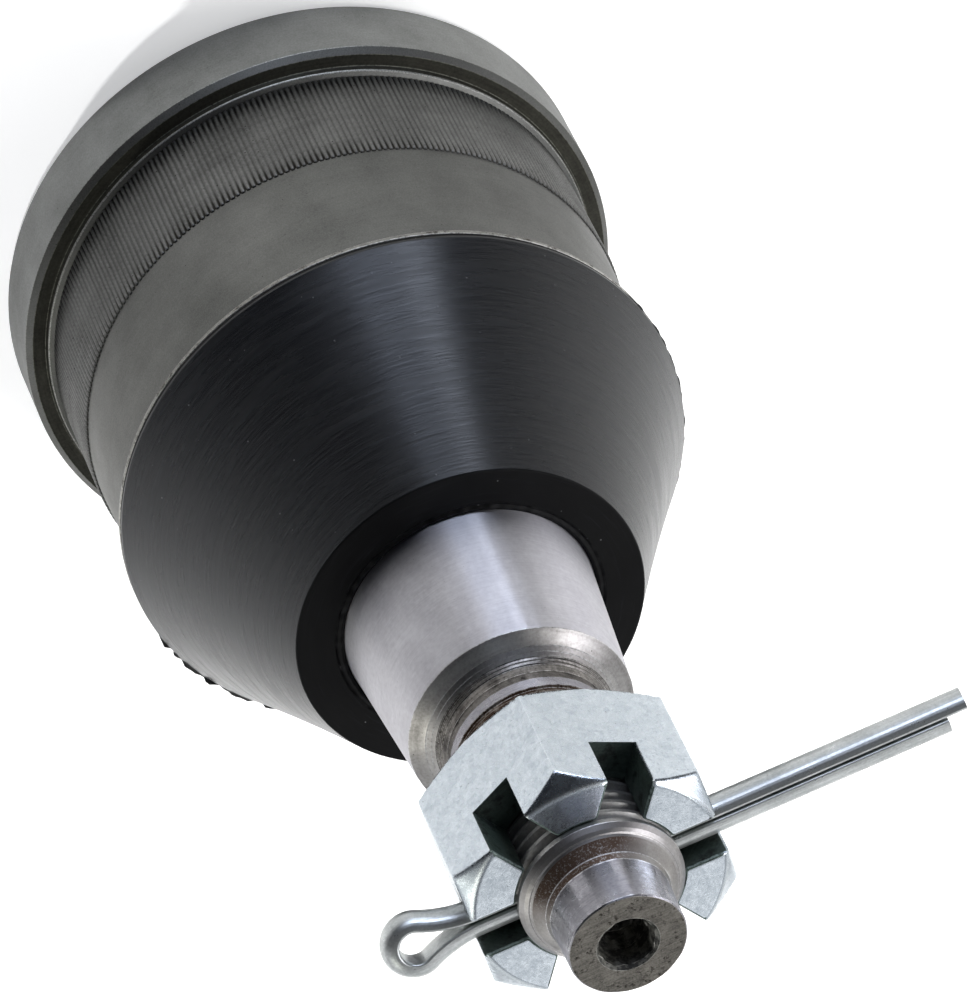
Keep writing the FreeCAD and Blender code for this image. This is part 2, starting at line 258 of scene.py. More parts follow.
@dataclass(frozen=True)
class Finish:
    """A surface, named for what it is made of and how it was made, and the record's slot that it fills."""

    name: str
    slot: str

    def material(self) -> bpy.types.Material:
        """Build the material, or give the one that was built before.

        Returns:
            The material.
        """
        if self.name in bpy.data.materials:
            return bpy.data.materials[self.name]
        material = bpy.data.materials.new(self.name)
        material.use_nodes = True
        tree = material.node_tree
        tree.nodes.clear()
        shader = add_node(tree, "BsdfPrincipled")
        add_node(tree, "OutputMaterial", {}, {"Surface": shader})
        feed(tree, shader, self.paint(tree, find_place(tree)))
        return material

    def paint(self, tree: Tree, place: Place) -> dict[str, object]:
        """Add the nodes of the finish.

        Args:
            tree: The material's tree.
            place: The sockets of the place.

        Returns:
            The values and nodes that feed the main shader.
        """
        raise NotImplementedError


@dataclass(frozen=True)
class Steel(Finish):
    """Bare, phosphated or plated steel.

    How it was worked gives the lines, and how it was stored gives the stains. The tone wanders between deep
    and pale, worn edges show a third tone, and stain is oil, rust or phosphate that gathers in spots. Where
    root and crest are set, the valleys of a knurl or a thread are darker, as painted shade.
    """

    deep: str
    pale: str
    edge: str
    roughness: tuple[float, float]
    lay: Lay = Lay.ROUND
    line_pitch: float = 0.3
    line_length: float = 12.0
    line_depth: float = 0.004
    line_share: float = 1.0
    grain: float = 0.25
    grain_depth: float = 0.003
    mottle: float = 6.0
    stain: str = "#2a2622"
    stain_size: float = 2.0
    stain_share: float = 0.0
    stain_side: float | None = None
    speck_share: float = 0.0
    root: float = 0.0
    crest: float = 0.0
    metallic: float = 1.0
    anisotropy: float = 0.0

    # The mottle's weight in the tone beside that of the grain, which is 1.
    MOTTLE_WEIGHT = 1.4
    # The sum of grain and mottle, and of full lines, at which the tone is deepest, and its span up to pale.
    DEEPEST, LINES_DEEPEST, TONE_SPAN = 0.75, 0.5, 0.9
    # The painted shade in valleys and the specks of dirt, and how much they cover.
    VALLEY_OIL, SPECK_DIRT, COVER = "#17150f", "#1d1a16", 0.85
    # Specks lie about a millimetre apart. Their size follows from their share.
    SPECK_SCALE, SPECK_RIM, SPECK_CORE = 0.9, 0.16, 0.10
    # The noise's level at which a stain begins, without stain and with all stained, and half its soft rim.
    NO_STAIN, ALL_STAINED, STAIN_RIM = 0.68, 0.32, 0.06
    # How far from the axis the stain on one side begins and is full, in millimetres.
    SIDE_START, SIDE_FULL = 2.5, 5.0
    # The most of a stain or of wear that shows, the levels of wear, and how much rougher a stain is.
    SHOWING, WEAR, STAIN_ROUGHNESS = 0.9, (0.3, 0.55), 0.25

    def tone(self, tree: Tree, lines: Node, grain: Node, mottle: Node) -> Node:
        """Add up lines, grain and mottle to the tone between deep and pale.

        Args:
            tree: The material's tree.
            lines: The tool's lines.
            grain: The fine grain.
            mottle: The broad mottle.

        Returns:
            The node of the tone, from 0 to 1.
        """
        total = grain
        for part, weight in ((lines, self.line_share), (mottle, self.MOTTLE_WEIGHT)):
            total = add_node(tree, "Math", {"operation": "MULTIPLY_ADD"}, {0: part, 1: weight, 2: total})
        least = self.DEEPEST + self.LINES_DEEPEST * self.line_share
        return add_node(tree, "MapRange", {}, {
            0: total, 1: least, 2: least + self.TONE_SPAN, 3: 0.0, 4: 1.0})

    def stains(self, tree: Tree, place: Place, colour: Node) -> tuple[Node, Node]:
        """Add the spots of oil, rust or phosphate, all round or on one side.

        Args:
            tree: The material's tree.
            place: The sockets of the place.
            colour: The colour below.

        Returns:
            The stain's share at each point, and the new colour.
        """
        add = partial(add_node, tree)
        spots = add("TexNoise", {}, {
            "Vector": place.point, "Scale": 1 / self.stain_size, "Detail": 5.0, "Roughness": 0.7})
        level = self.NO_STAIN + (self.ALL_STAINED - self.NO_STAIN) * self.stain_share
        side = None
        if self.stain_side is not None:
            angle = math.radians(self.stain_side)
            towards = (math.cos(angle), math.sin(angle), 0.0)
            along = add("VectorMath", {"operation": "DOT_PRODUCT"}, {0: place.point, 1: towards})
            side = add("MapRange", {}, {0: along, 1: self.SIDE_START, 2: self.SIDE_FULL, 3: 0.0, 4: 1.0})
        levels = (level - self.STAIN_RIM, level + self.STAIN_RIM)
        return lay_over(tree, colour, self.stain, spots, levels, self.SHOWING, side)

    def paint(self, tree: Tree, place: Place) -> dict[str, object]:
        """Add the nodes of the steel.

        Args:
            tree: The material's tree.
            place: The sockets of the place.

        Returns:
            The values and nodes that feed the main shader.
        """
        add = partial(add_node, tree)
        lines = tool_lines(tree, place, self.lay, self.line_pitch, self.line_length)
        grain = add("TexNoise", {}, {
            "Vector": place.point, "Scale": 1 / self.grain, "Detail": 2.0, "Roughness": 0.65})
        mottle = add("TexNoise", {}, {
            "Vector": place.point, "Scale": 1 / self.mottle, "Detail": 4.0, "Roughness": 0.6})
        tone = self.tone(tree, lines, grain, mottle)
        colour = add("Mix", COLOURS, {0: tone, 6: linear(self.deep), 7: linear(self.pale)})
        smooth, coarse = self.roughness
        rough = add("MapRange", {}, {0: tone, 1: 0.0, 2: 1.0, 3: coarse, 4: smooth})
        # Painted shade: the valleys of a knurl or a thread are darkened by their distance from the axis.
        if self.crest > self.root:
            _, colour = lay_over(tree, colour, self.VALLEY_OIL, place.radius, (self.crest, self.root),
                                 self.COVER, settings=SOFT)
        if self.stain_share > 0:
            stained, colour = self.stains(tree, place, colour)
            rough = add("Math", {"operation": "MULTIPLY_ADD", "use_clamp": True},
                        {0: stained, 1: self.STAIN_ROUGHNESS, 2: rough})
        if self.speck_share > 0:
            specks = add("TexVoronoi", {}, {"Vector": place.point, "Scale": self.SPECK_SCALE})
            levels = (self.SPECK_RIM * self.speck_share, self.SPECK_CORE * self.speck_share)
            _, colour = lay_over(tree, colour, self.SPECK_DIRT, specks, levels, self.COVER)
        edge = add("Attribute", {"attribute_name": "edge"}).outputs["Fac"]
        worn = add("Math", TIMES, {0: edge, 1: grain})
        _, colour = lay_over(tree, colour, self.edge, worn, self.WEAR, self.SHOWING)
        relief = add_relief(tree, (lines, self.line_depth), (grain, self.grain_depth))
        inputs = {"Base Color": colour, "Roughness": rough, "Normal": relief, "Metallic": self.metallic}
        if self.anisotropy > 0:
            around = add("Tangent", {"direction_type": "RADIAL", "axis": "Z"})
            inputs |= {"Tangent": around, "Anisotropic": self.anisotropy, "Anisotropic Rotation": 0.25}
        return inputs


@dataclass(frozen=True)
class Rubber(Finish):
    """Moulded and buffed rubber: satin and blue-black, with a little dust.

    Short scuffs run round the axis, among coarser and longer strokes of the same buffing.
    """

    name: str = "buffed_boot_rubber"
    slot: str = "boot_rubber"
    deep: str = "#04060b"
    pale: str = "#0a0e16"
    dust: str = "#2c2e32"
    specks: str = "#6d6e70"
    roughness: tuple[float, float] = (0.22, 0.31)
    scuff_pitch: float = 0.18
    scuff_length: float = 3.5
    scuff_depth: float = 0.014
    specular: float = 0.42

    # The strokes' pitch, length and depth, each as a multiple of the scuffs'.
    STROKE_PITCH, STROKE_LENGTH, STROKE_DEPTH = 2.2, 2.5, 0.6

    def paint(self, tree: Tree, place: Place) -> dict[str, object]:
        """Add the nodes of the rubber.

        Args:
            tree: The material's tree.
            place: The sockets of the place.

        Returns:
            The values and nodes that feed the main shader.
        """
        add = partial(add_node, tree)
        pitch, length, depth = self.scuff_pitch, self.scuff_length, self.scuff_depth
        scuffs = tool_lines(tree, place, Lay.ROUND, pitch, length)
        strokes = tool_lines(tree, place, Lay.ROUND, pitch * self.STROKE_PITCH, length * self.STROKE_LENGTH)
        mottle = add("TexNoise", {}, {"Vector": place.point, "Scale": 0.12, "Detail": 3.0, "Roughness": 0.55})
        colour = add("Mix", COLOURS, {0: mottle, 6: linear(self.deep), 7: linear(self.pale)})
        dusty = add("Math", TIMES, {0: scuffs, 1: strokes})
        _, colour = lay_over(tree, colour, self.dust, dusty, (0.30, 0.48), 0.25)
        specks = add("TexVoronoi", {}, {"Vector": place.point, "Scale": 0.5})
        _, colour = lay_over(tree, colour, self.specks, specks, (0.05, 0.03), 0.7)
        smooth, coarse = self.roughness
        rough = add("MapRange", {}, {0: strokes, 1: 0.3, 2: 0.7, 3: smooth, 4: coarse})
        relief = add_relief(tree, (scuffs, depth), (strokes, self.STROKE_DEPTH * depth))
        return {
            "Base Color": colour, "Roughness": rough, "Normal": relief, "Specular IOR Level": self.specular}


@dataclass(frozen=True)
class Acetal(Finish):
    """Moulded acetal: smooth, milky and faintly waxy, with flow marks and a trace of grey grease."""

    name: str = "moulded_acetal"
    slot: str = "bearing"
    deep: str = "#cfcabb"
    pale: str = "#e9e6db"
    grease: str = "#8d8674"
    dry_roughness: float = 0.42
    greased_roughness: float = 0.2
    flow_depth: float = 0.01

    # The largest share of grease over the acetal.
    GREASE_SHARE = 0.6

    def paint(self, tree: Tree, place: Place) -> dict[str, object]:
        """Add the nodes of the acetal.

        Args:
            tree: The material's tree.
            place: The sockets of the place.

        Returns:
            The values and nodes that feed the main shader.
        """
        add = partial(add_node, tree)
        flow = tool_lines(tree, place, Lay.ROUND, 1.5, 20.0)
        smear = add("TexNoise", {}, {"Vector": place.point, "Scale": 0.25, "Detail": 4.0})
        colour = add("Mix", COLOURS, {0: flow, 6: linear(self.deep), 7: linear(self.pale)})
        smeared, colour = lay_over(tree, colour, self.grease, smear, (0.55, 0.75), self.GREASE_SHARE)
        rough = add("MapRange", {}, {
            0: smeared, 1: 0.0, 2: self.GREASE_SHARE, 3: self.dry_roughness, 4: self.greased_roughness})
        return {"Base Color": colour, "Roughness": rough, "Normal": add_relief(tree, (flow, self.flow_depth))}


@dataclass(frozen=True)
class Paper(Finish):
    """Pale matt paper, which reads white to the camera and still keeps the object's shadow.

    It is the floor's and no part of the object, so it fills no slot.
    """

    name: str = "pale_paper_floor"
    slot: str = ""

    # How much of the paper's white shows to the camera and in a mirror without any light on it.
    SEEN, MIRRORED = 0.45, 0.15

    def paint(self, tree: Tree, place: Place) -> dict[str, object]:
        """Add the nodes of the paper.

        Args:
            tree: The material's tree.
            place: The sockets of the place.

        Returns:
            The values and nodes that feed the main shader.
        """
        add = partial(add_node, tree)
        fibres = add("TexNoise", {}, {"Vector": place.point, "Scale": 0.4, "Detail": 4.0})
        tone = add("Mix", COLOURS, {0: fibres, 6: linear("#eeeeee"), 7: linear("#f3f3f3")})
        rays = add("LightPath").outputs
        mirrored = add("Math", TIMES, {0: rays["Is Glossy Ray"], 1: self.MIRRORED})
        lift = add("Math", {"operation": "MULTIPLY_ADD"}, {
            0: rays["Is Camera Ray"], 1: self.SEEN, 2: mirrored})
        return {"Base Color": tone, "Roughness": 0.9, "Specular IOR Level": 0.0,
                "Emission Color": WHITE, "Emission Strength": lift}


# Forged steel with a thin grey phosphate: even, matt and finely grained. The real crystals are too fine to
# show, so they are drawn 0.15 mm wide.
PHOSPHATED = Steel(
    "phosphated_forged_steel", "phosphated_steel", "#565653", "#757572", "#a5a5a0", (0.40, 0.52),
    line_pitch=0.35, line_depth=0.0012, line_share=0.25, grain=0.15, grain_depth=0.008, mottle=10.0,
    speck_share=0.35)
# Same steel on the flange's rim and rolled lip: painted light makes it brighter; faint lines run round it.
LIT_RIM = Steel(
    "lit_flange_rim_steel", "phosphated_steel", "#7b7c79", "#9b9c9a", "#a6a6a2", (0.40, 0.52),
    line_depth=0.0012, line_share=0.25, grain=0.18, grain_depth=0.006, mottle=7.0, speck_share=0.3)
# The recess beside the knurl: painted dark as painted shade of the recess, and never rubbed bright.
OILED_RECESS = Steel(
    "shaded_recess_steel", "phosphated_steel", "#2f2e28", "#48473f", "#6c6c62", (0.45, 0.6), grain=0.3,
    mottle=5.0, metallic=0.7)
# Serrations pressed into the band: grey crests, with painted shade in the valleys.
KNURLED = Steel(
    "knurled_band_steel", "phosphated_steel", "#5b5b59", "#7c7c7a", "#a8a8a4", (0.36, 0.5), grain_depth=0.006,
    mottle=7.0, speck_share=0.6, root=27.46, crest=27.64)
# Ground taper and land: bright and fine, with marks of the grinding wheel round it. The real marks are too
# fine to show in a render, so they are drawn 0.12 mm apart.
GROUND = Steel(
    "ground_stud_steel", "stud_steel", "#bcbac0", "#d2d1d6", "#e2e1e4", (0.34, 0.44), line_pitch=0.12,
    line_length=5.0, line_depth=0.0004, grain=0.5, grain_depth=0.0003, mottle=7.0, speck_share=0.2,
    anisotropy=0.97)
# Neck of the stud and cone at the small end of its taper: coarsely turned, grey, with plain tool lines.
TURNED = Steel(
    "turned_stud_steel", "stud_steel", "#8b8885", "#bab7b5", "#d8d7d8", (0.28, 0.42), line_pitch=0.2,
    line_length=16.0, line_depth=0.022, grain=0.3, mottle=4.0, speck_share=0.4, anisotropy=0.5)
# Grooves between cone and shank: the same tool ran deeper, and the tone is dark between bright lines.
GROOVED = Steel(
    "grooved_stud_steel", "stud_steel", "#33302d", "#8f8b87", "#c4c2c1", (0.24, 0.40), line_pitch=0.2,
    line_length=30.0, line_depth=0.03, grain=0.3, mottle=3.0, stain="#1c1916", stain_size=1.2,
    stain_share=0.2)
# Shank by the nut: brown with old oil and a trace of rust, and darker still as painted shade under the nut.
STAINED_AND_SHADED = Steel(
    "stained_and_shaded_shank_steel", "stud_steel", "#5a5149", "#857e78", "#b5b0ac", (0.32, 0.5), line_pitch=0.25,
    line_depth=0.01, mottle=2.5, stain="#3b2a1e", stain_size=1.3, stain_share=0.6)
# Rolled thread: polished crests, with painted shade in the valleys between them.
THREADED = Steel(
    "rolled_thread_steel", "stud_steel", "#8a8886", "#b5b4b3", "#e0dfe0", (0.35, 0.5), line_pitch=0.2,
    mottle=3.0, root=7.0, crest=7.5, metallic=0.75)
# Face that ends the thread: turned, with plain tool lines.
THREAD_END = Steel(
    "thread_end_steel", "stud_steel", "#9b9794", "#c2bfbe", "#dddcdd", (0.28, 0.44), line_pitch=0.2,
    line_depth=0.02, grain=0.3, grain_depth=0.004, mottle=3.0, anisotropy=0.4)
# Foot of that face: rust has crept out of the corner on one side.
RUSTED = Steel(
    "rusted_corner_steel", "stud_steel", "#8f8b87", "#b4b0ad", "#dddcdd", (0.30, 0.46), line_pitch=0.2,
    line_depth=0.02, grain=0.2, grain_depth=0.012, mottle=2.0, stain="#4c3626", stain_size=0.2,
    stain_share=0.74, stain_side=-75.0)
# Pilot: finely turned and bright.
PILOT = Steel(
    "turned_pilot_steel", "stud_steel", "#8c8a90", "#b4b3b9", "#e4e3e6", (0.24, 0.34), line_pitch=0.14,
    line_length=6.0, line_depth=0.002, grain=0.4, grain_depth=0.001, mottle=3.0, anisotropy=0.92)
# Sawn and faced end of the stud: grey-brown, scratched straight across and pitted.
END_FACE = Steel(
    "sawn_end_steel", "stud_steel", "#56534e", "#908c84", "#b5b2ae", (0.36, 0.54), lay=Lay.STRAIGHT,
    line_pitch=0.17, line_length=2.6, line_depth=0.06, grain=0.18, grain_depth=0.008, mottle=2.0,
    stain="#37332e", stain_size=0.7, stain_share=0.2, speck_share=0.5)
# Drilled centre: black and rough.
CENTRE_HOLE = Steel(
    "drilled_centre_steel", "stud_steel", "#3c3c38", "#7d7c76", "#a09e99", (0.4, 0.6), line_depth=0.03,
    grain=0.5, grain_depth=0.03, mottle=1.2, stain="#161614", stain_size=0.8, stain_share=0.5, metallic=0.1)
# Dull zinc plate: pale blue-grey, with a fine white bloom, drawn coarse enough to show, and rubbed edges.
ZINC = Steel(
    "dull_zinc_plate", "zinc_plate", "#b4bdc5", "#d6dde3", "#dde3e7", (0.21, 0.32), line_length=0.35,
    line_depth=0.003, grain=0.14, grain_depth=0.006, mottle=1.1, speck_share=0.3)
# Broached slots and bore of the nut: thin, oily plating, painted dark as painted shade of the slots.
SHADED_SLOT = Steel(
    "shaded_oily_slot_steel", "zinc_plate", "#2c3a36", "#55645e", "#9fb0ab", (0.35, 0.5), line_depth=0.006,
    grain=0.3, mottle=2.5, stain="#141a17", stain_share=0.3, metallic=0.2)
# Bright zinc on drawn wire: fine lines along it.
WIRE = Steel(
    "bright_zinc_wire", "zinc_wire", "#a8acac", "#d2d5d5", "#f4f5f5", (0.27, 0.37), lay=Lay.STRAIGHT,
    line_pitch=0.2, line_length=6.0, grain=0.3, mottle=3.0, speck_share=0.3, metallic=0.8)
# Pressed steel ring of the boot, with an edge sheared bright.
RING = Steel(
    "sheared_ring_steel", "ring_steel", "#6e6d69", "#9c9b96", "#c4c3be", (0.32, 0.46), line_pitch=0.2,
    grain=0.3, mottle=4.0, stain="#403b33", stain_size=1.5, stain_share=0.35)
# Oiled spring steel, dark blue-grey.
SPRING = Steel(
    "oiled_spring_steel", "spring_steel", "#4c4f55", "#6b6f76", "#a4a8ad", (0.25, 0.38), grain=0.3,
    mottle=5.0)
# Skin of the boot: satin, blue-black and scuffed round its axis.
RUBBER = Rubber()
# The boot's end face as it came from the mould: matt and nearly black.
MOULDED_END = Rubber(
    "moulded_end_rubber", deep="#020203", pale="#0d0d0d", roughness=(0.40, 0.54), scuff_depth=0.008,
    specular=0.12)
# Bearings and the boot's neck ring: milky and faintly waxy.
ACETAL = Acetal()


# ---------------------------------------------------------------- turned shapes


@dataclass(frozen=True)
class Corner:
    """A corner of a half-section: its place, its rounding, and the finish of the run that ends at it."""

    radius: float
    height: float
    rounding: float = 0.0
    finish: int = 0

    def place(self) -> Array:
        """Give radius and height."""
        return np.array([self.radius, self.height])


@dataclass(frozen=True)
class Station:
    """One ring of a turned mesh. Edge is 1 on a rounded edge and 0 elsewhere."""

    radius: float
    height: float
    finish: int = 0
    edge: float = 0.0


# Two runs that meet at nearly this angle are one run, whose corner isn't rounded.
STRAIGHT = math.radians(179)
# The most of a run that one rounding takes.
LONGEST_ROUNDING = 0.45
# How far beside a rounding the ring stands that keeps a run flat, in millimetres and as a share of the run.
HOLD, HOLD_SHARE = 0.03, 0.04
# How worn the two ends of a rounding are, beside 1 between them.
ROUNDING_ENDS = 0.6
# A ring smaller than this is a point on the axis.
ON_AXIS = 1e-6


def run(finish: int, *rows: tuple[float, ...]) -> list[Corner]:
    """Give the corners at the ends of runs in one finish.

    Args:
        finish: The number of the finish.
        rows: Each corner's radius, height and, where it is rounded, rounding.

    Returns:
        The corners.
    """
    return [Corner(radius, height, *rounding, finish=finish) for radius, height, *rounding in rows]


def rounded_section(corners: Sequence[Corner], steps: int = 4) -> Section:
    """Round the corners of a half-section, and hold each flat run flat with a ring close to its ends.

    Args:
        corners: The corners of a closed half-section, in order.
        steps: Faces across each rounding.

    Returns:
        The stations of the turned mesh.
    """
    stations: Section = []
    for index, corner in enumerate(corners):
        after = corners[(index + 1) % len(corners)]
        here = corner.place()
        back, ahead = corners[index - 1].place() - here, after.place() - here
        back_length, ahead_length = np.linalg.norm(back), np.linalg.norm(ahead)
        back, ahead = back / back_length, ahead / ahead_length
        angle = math.acos(float(np.clip(back @ ahead, -1, 1)))
        if corner.rounding <= 0 or angle > STRAIGHT:
            stations.append(Station(corner.radius, corner.height, corner.finish))
            continue
        half = math.tan(angle / 2)
        reach = min(corner.rounding / half, LONGEST_ROUNDING * back_length, LONGEST_ROUNDING * ahead_length)
        middle = (back + ahead) / np.linalg.norm(back + ahead)
        centre = here + middle * (reach * half) / math.sin(angle / 2)
        first, last = here + back * reach - centre, here + ahead * reach - centre
        turn = math.pi - angle
        point = here + back * (reach + min(HOLD, HOLD_SHARE * back_length))
        stations.append(Station(*point, corner.finish))
        for step in range(steps + 1):
            share = step / steps
            along = math.sin((1 - share) * turn) * first + math.sin(share * turn) * last
            point = centre + along / math.sin(turn)
            finish = after.finish if step else corner.finish
            stations.append(Station(*point, finish, 1.0 if 0 < step < steps else ROUNDING_ENDS))
        point = here + ahead * (reach + min(HOLD, HOLD_SHARE * ahead_length))
        stations.append(Station(*point, after.finish))
    return stations


def arc_corners(first: tuple[float, float], middle: tuple[float, float], last: tuple[float, float],
                steps: int, finish: int = 0) -> list[Corner]:
    """Give the corners between the ends of an arc through three points of a half-section.

    Args:
        first: Radius and height where the arc starts.
        middle: A point on the arc.
        last: Radius and height where the arc ends.
        steps: Straight runs in the arc.
        finish: The finish of the arc's runs.

    Returns:
        The corners strictly between the two ends.
    """
    (ax, ay), (bx, by), (cx, cy) = first, middle, last
    d = 2 * (ax * (by - cy) + bx * (cy - ay) + cx * (ay - by))
    a, b, c = ax ** 2 + ay ** 2, bx ** 2 + by ** 2, cx ** 2 + cy ** 2
    ux = (a * (by - cy) + b * (cy - ay) + c * (ay - by)) / d
    uy = (a * (cx - bx) + b * (ax - cx) + c * (bx - ax)) / d
    start = math.atan2(ay - uy, ax - ux)
    via = (math.atan2(by - uy, bx - ux) - start) % math.tau
    end = (math.atan2(cy - uy, cx - ux) - start) % math.tau
    if via > end:
        end -= math.tau
    size = math.hypot(ax - ux, ay - uy)
    turns = [start + end * step / steps for step in range(1, steps)]
    return run(finish, *((ux + size * math.cos(turn), uy + size * math.sin(turn)) for turn in turns))


def make_mesh(name: str, points: Array, faces: Sequence[Sequence[int]], finishes: Sequence[Finish] = (),
              face_finish: Sequence[int] | None = None, edge: Array | None = None,
              lines: Sequence[tuple[int, int]] = ()) -> Piece:
    """Make an object from points in millimetres.

    Args:
        name: The piece's name.
        points: One row of x, y and z for each vertex.
        faces: The vertices of each face, in order, seen from outside.
        finishes: The finishes that the piece uses.
        face_finish: The number of each face's finish, or None for the first.
        edge: How much each vertex lies on a rounded edge, or None.
        lines: Pairs of vertices that a line joins, where the piece is a bare path.

    Returns:
        The new object, at the origin.
    """
    mesh = bpy.data.meshes.new(name)
    mesh.from_pydata((np.asarray(points) * MM).tolist(), lines, [list(face) for face in faces])
    for finish in finishes:
        mesh.materials.append(finish.material())
    if face_finish is not None:
        mesh.polygons.foreach_set("material_index", np.asarray(face_finish, dtype=np.int32))
    mesh.polygons.foreach_set("use_smooth", np.ones(len(mesh.polygons), dtype=bool))
    if edge is not None:
        worn = mesh.attributes.new("edge", "FLOAT", "POINT")
        worn.data.foreach_set("value", np.asarray(edge, dtype=np.float32))
    mesh.validate()
    mesh.update()
    piece = bpy.data.objects.new(name, mesh)
    bpy.context.scene.collection.objects.link(piece)
    return piece


def bridge(low: int, high: int, count: int) -> list[tuple[int, ...]]:
    """Give the faces between two rings of a mesh.

    Args:
        low: The number of the first ring's first vertex.
        high: The number of the second ring's first vertex.
        count: Vertices in each ring.

    Returns:
        The vertices of each face.
    """
    return [(low + j, low + (j + 1) % count, high + (j + 1) % count, high + j) for j in range(count)]


def turn_piece(name: str, stations: Section, segments: int, finishes: Sequence[Finish],
               shape: Shape | None = None) -> Piece:
    """Turn a closed half-section about the stud's axis.

    Args:
        name: The piece's name.
        stations: The rings of the closed half-section, in order.
        segments: Faces round the piece.
        finishes: The finishes that the stations number.
        shape: Changes radius and height by the angle, or None for a plain turned piece.

    Returns:
        The new object.
    """
    radii = np.array([s.radius for s in stations])
    heights = np.array([s.height for s in stations])
    following = np.roll(np.arange(len(stations)), -1)
    outward = float(np.sum(radii * heights[following] - radii[following] * heights)) > 0
    rings = list(stations) if outward else list(reversed(stations))
    run_finish = [s.finish for s in (rings[1:] + rings[:1] if outward else rings)]
    turns = np.arange(segments) * 2 * math.pi / segments
    points, first, edge = [], [], []
    for ring in rings:
        first.append(len(points))
        if ring.radius < ON_AXIS:
            points.append((0.0, 0.0, ring.height))
            edge.append(ring.edge)
            continue
        radius, height = np.full(segments, ring.radius), np.full(segments, ring.height)
        if shape is not None:
            radius, height = shape(radius, height, turns)
        points.extend(zip(radius * np.cos(turns), radius * np.sin(turns), height))
        edge.extend([ring.edge] * segments)
    faces, face_finish = [], []
    for index, ring in enumerate(rings):
        other = (index + 1) % len(rings)
        low_pole, high_pole = ring.radius < ON_AXIS, rings[other].radius < ON_AXIS
        if low_pole and high_pole:
            continue
        between = bridge(first[index], first[other], segments)
        if low_pole:
            between = [(first[index], c, d) for _, _, c, d in between]
        elif high_pole:
            between = [(a, b, first[other]) for a, b, _, _ in between]
        faces += between
        face_finish += [run_finish[index]] * segments
    return make_mesh(name, np.array(points), faces, finishes, face_finish, np.array(edge))


def ripple(turns: Array, seed: int, waves: Sequence[int]) -> Array:
    """Give an uneven wave round a circle, from about -1 to 1, the same on every run.

    Args:
        turns: Angles round the axis.
        seed: Seed of the waves' phases.
        waves: How many times each wave goes up and down round the circle.

    Returns:
        The wave at each angle.
    """
    phases = np.random.default_rng(seed).uniform(0, 2 * math.pi, len(waves))
    total = sum(np.sin(count * turns + phase) for count, phase in zip(waves, phases))
    return total / math.sqrt(len(waves))


# ---------------------------------------------------------------- node-made shapes


def run_nodes(piece: Piece, tree: Tree, values: dict[str, object]) -> Piece:
    """Run a tree of geometry nodes on a piece and keep the result as its plain mesh.

    Args:
        piece: The object that the tree starts from.
        tree: The tree.
        values: The tree's inputs by name.

    Returns:
        The same object, with its new mesh and no modifier.
    """
    modifier = piece.modifiers.new("shape", "NODES")
    modifier.node_group = tree
    for item in tree.interface.items_tree:
        if item.item_type == "SOCKET" and item.in_out == "INPUT" and item.name in values:
            modifier[item.identifier] = values[item.name]
    bpy.context.view_layer.update()
    evaluated = piece.evaluated_get(bpy.context.evaluated_depsgraph_get())
    mesh = bpy.data.meshes.new_from_object(evaluated)
    piece.modifiers.clear()
    piece.data = mesh
    return piece


def start_tree(name: str, *lengths: str, **others: str) -> tuple[Tree, dict[str, Socket], Node]:
    """Start a tree of geometry nodes with its named inputs, of which the finish is one.

    Args:
        name: The tree's name.
        lengths: The names of inputs that are plain numbers, such as lengths.
        others: Names of further inputs and the type of each one's socket.

    Returns:
        The tree, the sockets of its inputs by name, and its output node.
    """
    tree = bpy.data.node_groups.new(name, "GeometryNodeTree")
    kinds = {"Geometry": "Geometry", **dict.fromkeys(lengths, "Float"), **others, "Finish": "Material"}
    for title, kind in kinds.items():
        tree.interface.new_socket(name=title, in_out="INPUT", socket_type="NodeSocket" + kind)
    tree.interface.new_socket(name="Geometry", in_out="OUTPUT", socket_type="NodeSocketGeometry")
    given = add_node(tree, "NodeGroupInput").outputs
    return tree, {title: given[title] for title in kinds}, add_node(tree, "NodeGroupOutput")


def serration_tree() -> Tree:
    """Build the tree that sets copies of one serration side by side round the band.

    Returns:
        The tree.
    """
    tree, given, result = start_tree(
        "serrations_round_the_band", "Radius", "Unevenness", Count="Int", Seed="Int")
    add = partial(add_node, tree)
    circle = add("GeometryNodeMeshCircle", {"fill_type": "NONE"}, {
        "Vertices": given["Count"], "Radius": given["Radius"]})
    parts = add("SeparateXYZ", {}, {0: add("GeometryNodeInputPosition")}).outputs
    turn = add("Math", {"operation": "ARCTAN2"}, {0: parts[1], 1: parts[0]})
    rotation = add("FunctionNodeEulerToRotation", {}, {0: add("CombineXYZ", {}, {2: turn})})
    least = add("Math", {"operation": "SUBTRACT"}, {0: 1.0, 1: given["Unevenness"]})
    random = add("FunctionNodeRandomValue", {"data_type": "FLOAT"}, {2: least, 3: 1.0, "Seed": given["Seed"]})
    scale = add("CombineXYZ", {}, {0: random, 1: 1.0, 2: 1.0})
    placed = add("GeometryNodeInstanceOnPoints", {}, {
        "Points": circle, "Instance": given["Geometry"], "Rotation": rotation, "Scale": scale})
    real = add("GeometryNodeRealizeInstances", {}, {0: placed})
    joined = add("GeometryNodeMergeByDistance", {}, {0: real, "Distance": 0.004 * MM})
    feed(tree, result, {0: add("GeometryNodeSetMaterial", {}, {0: joined, "Material": given["Finish"]})})
    return tree


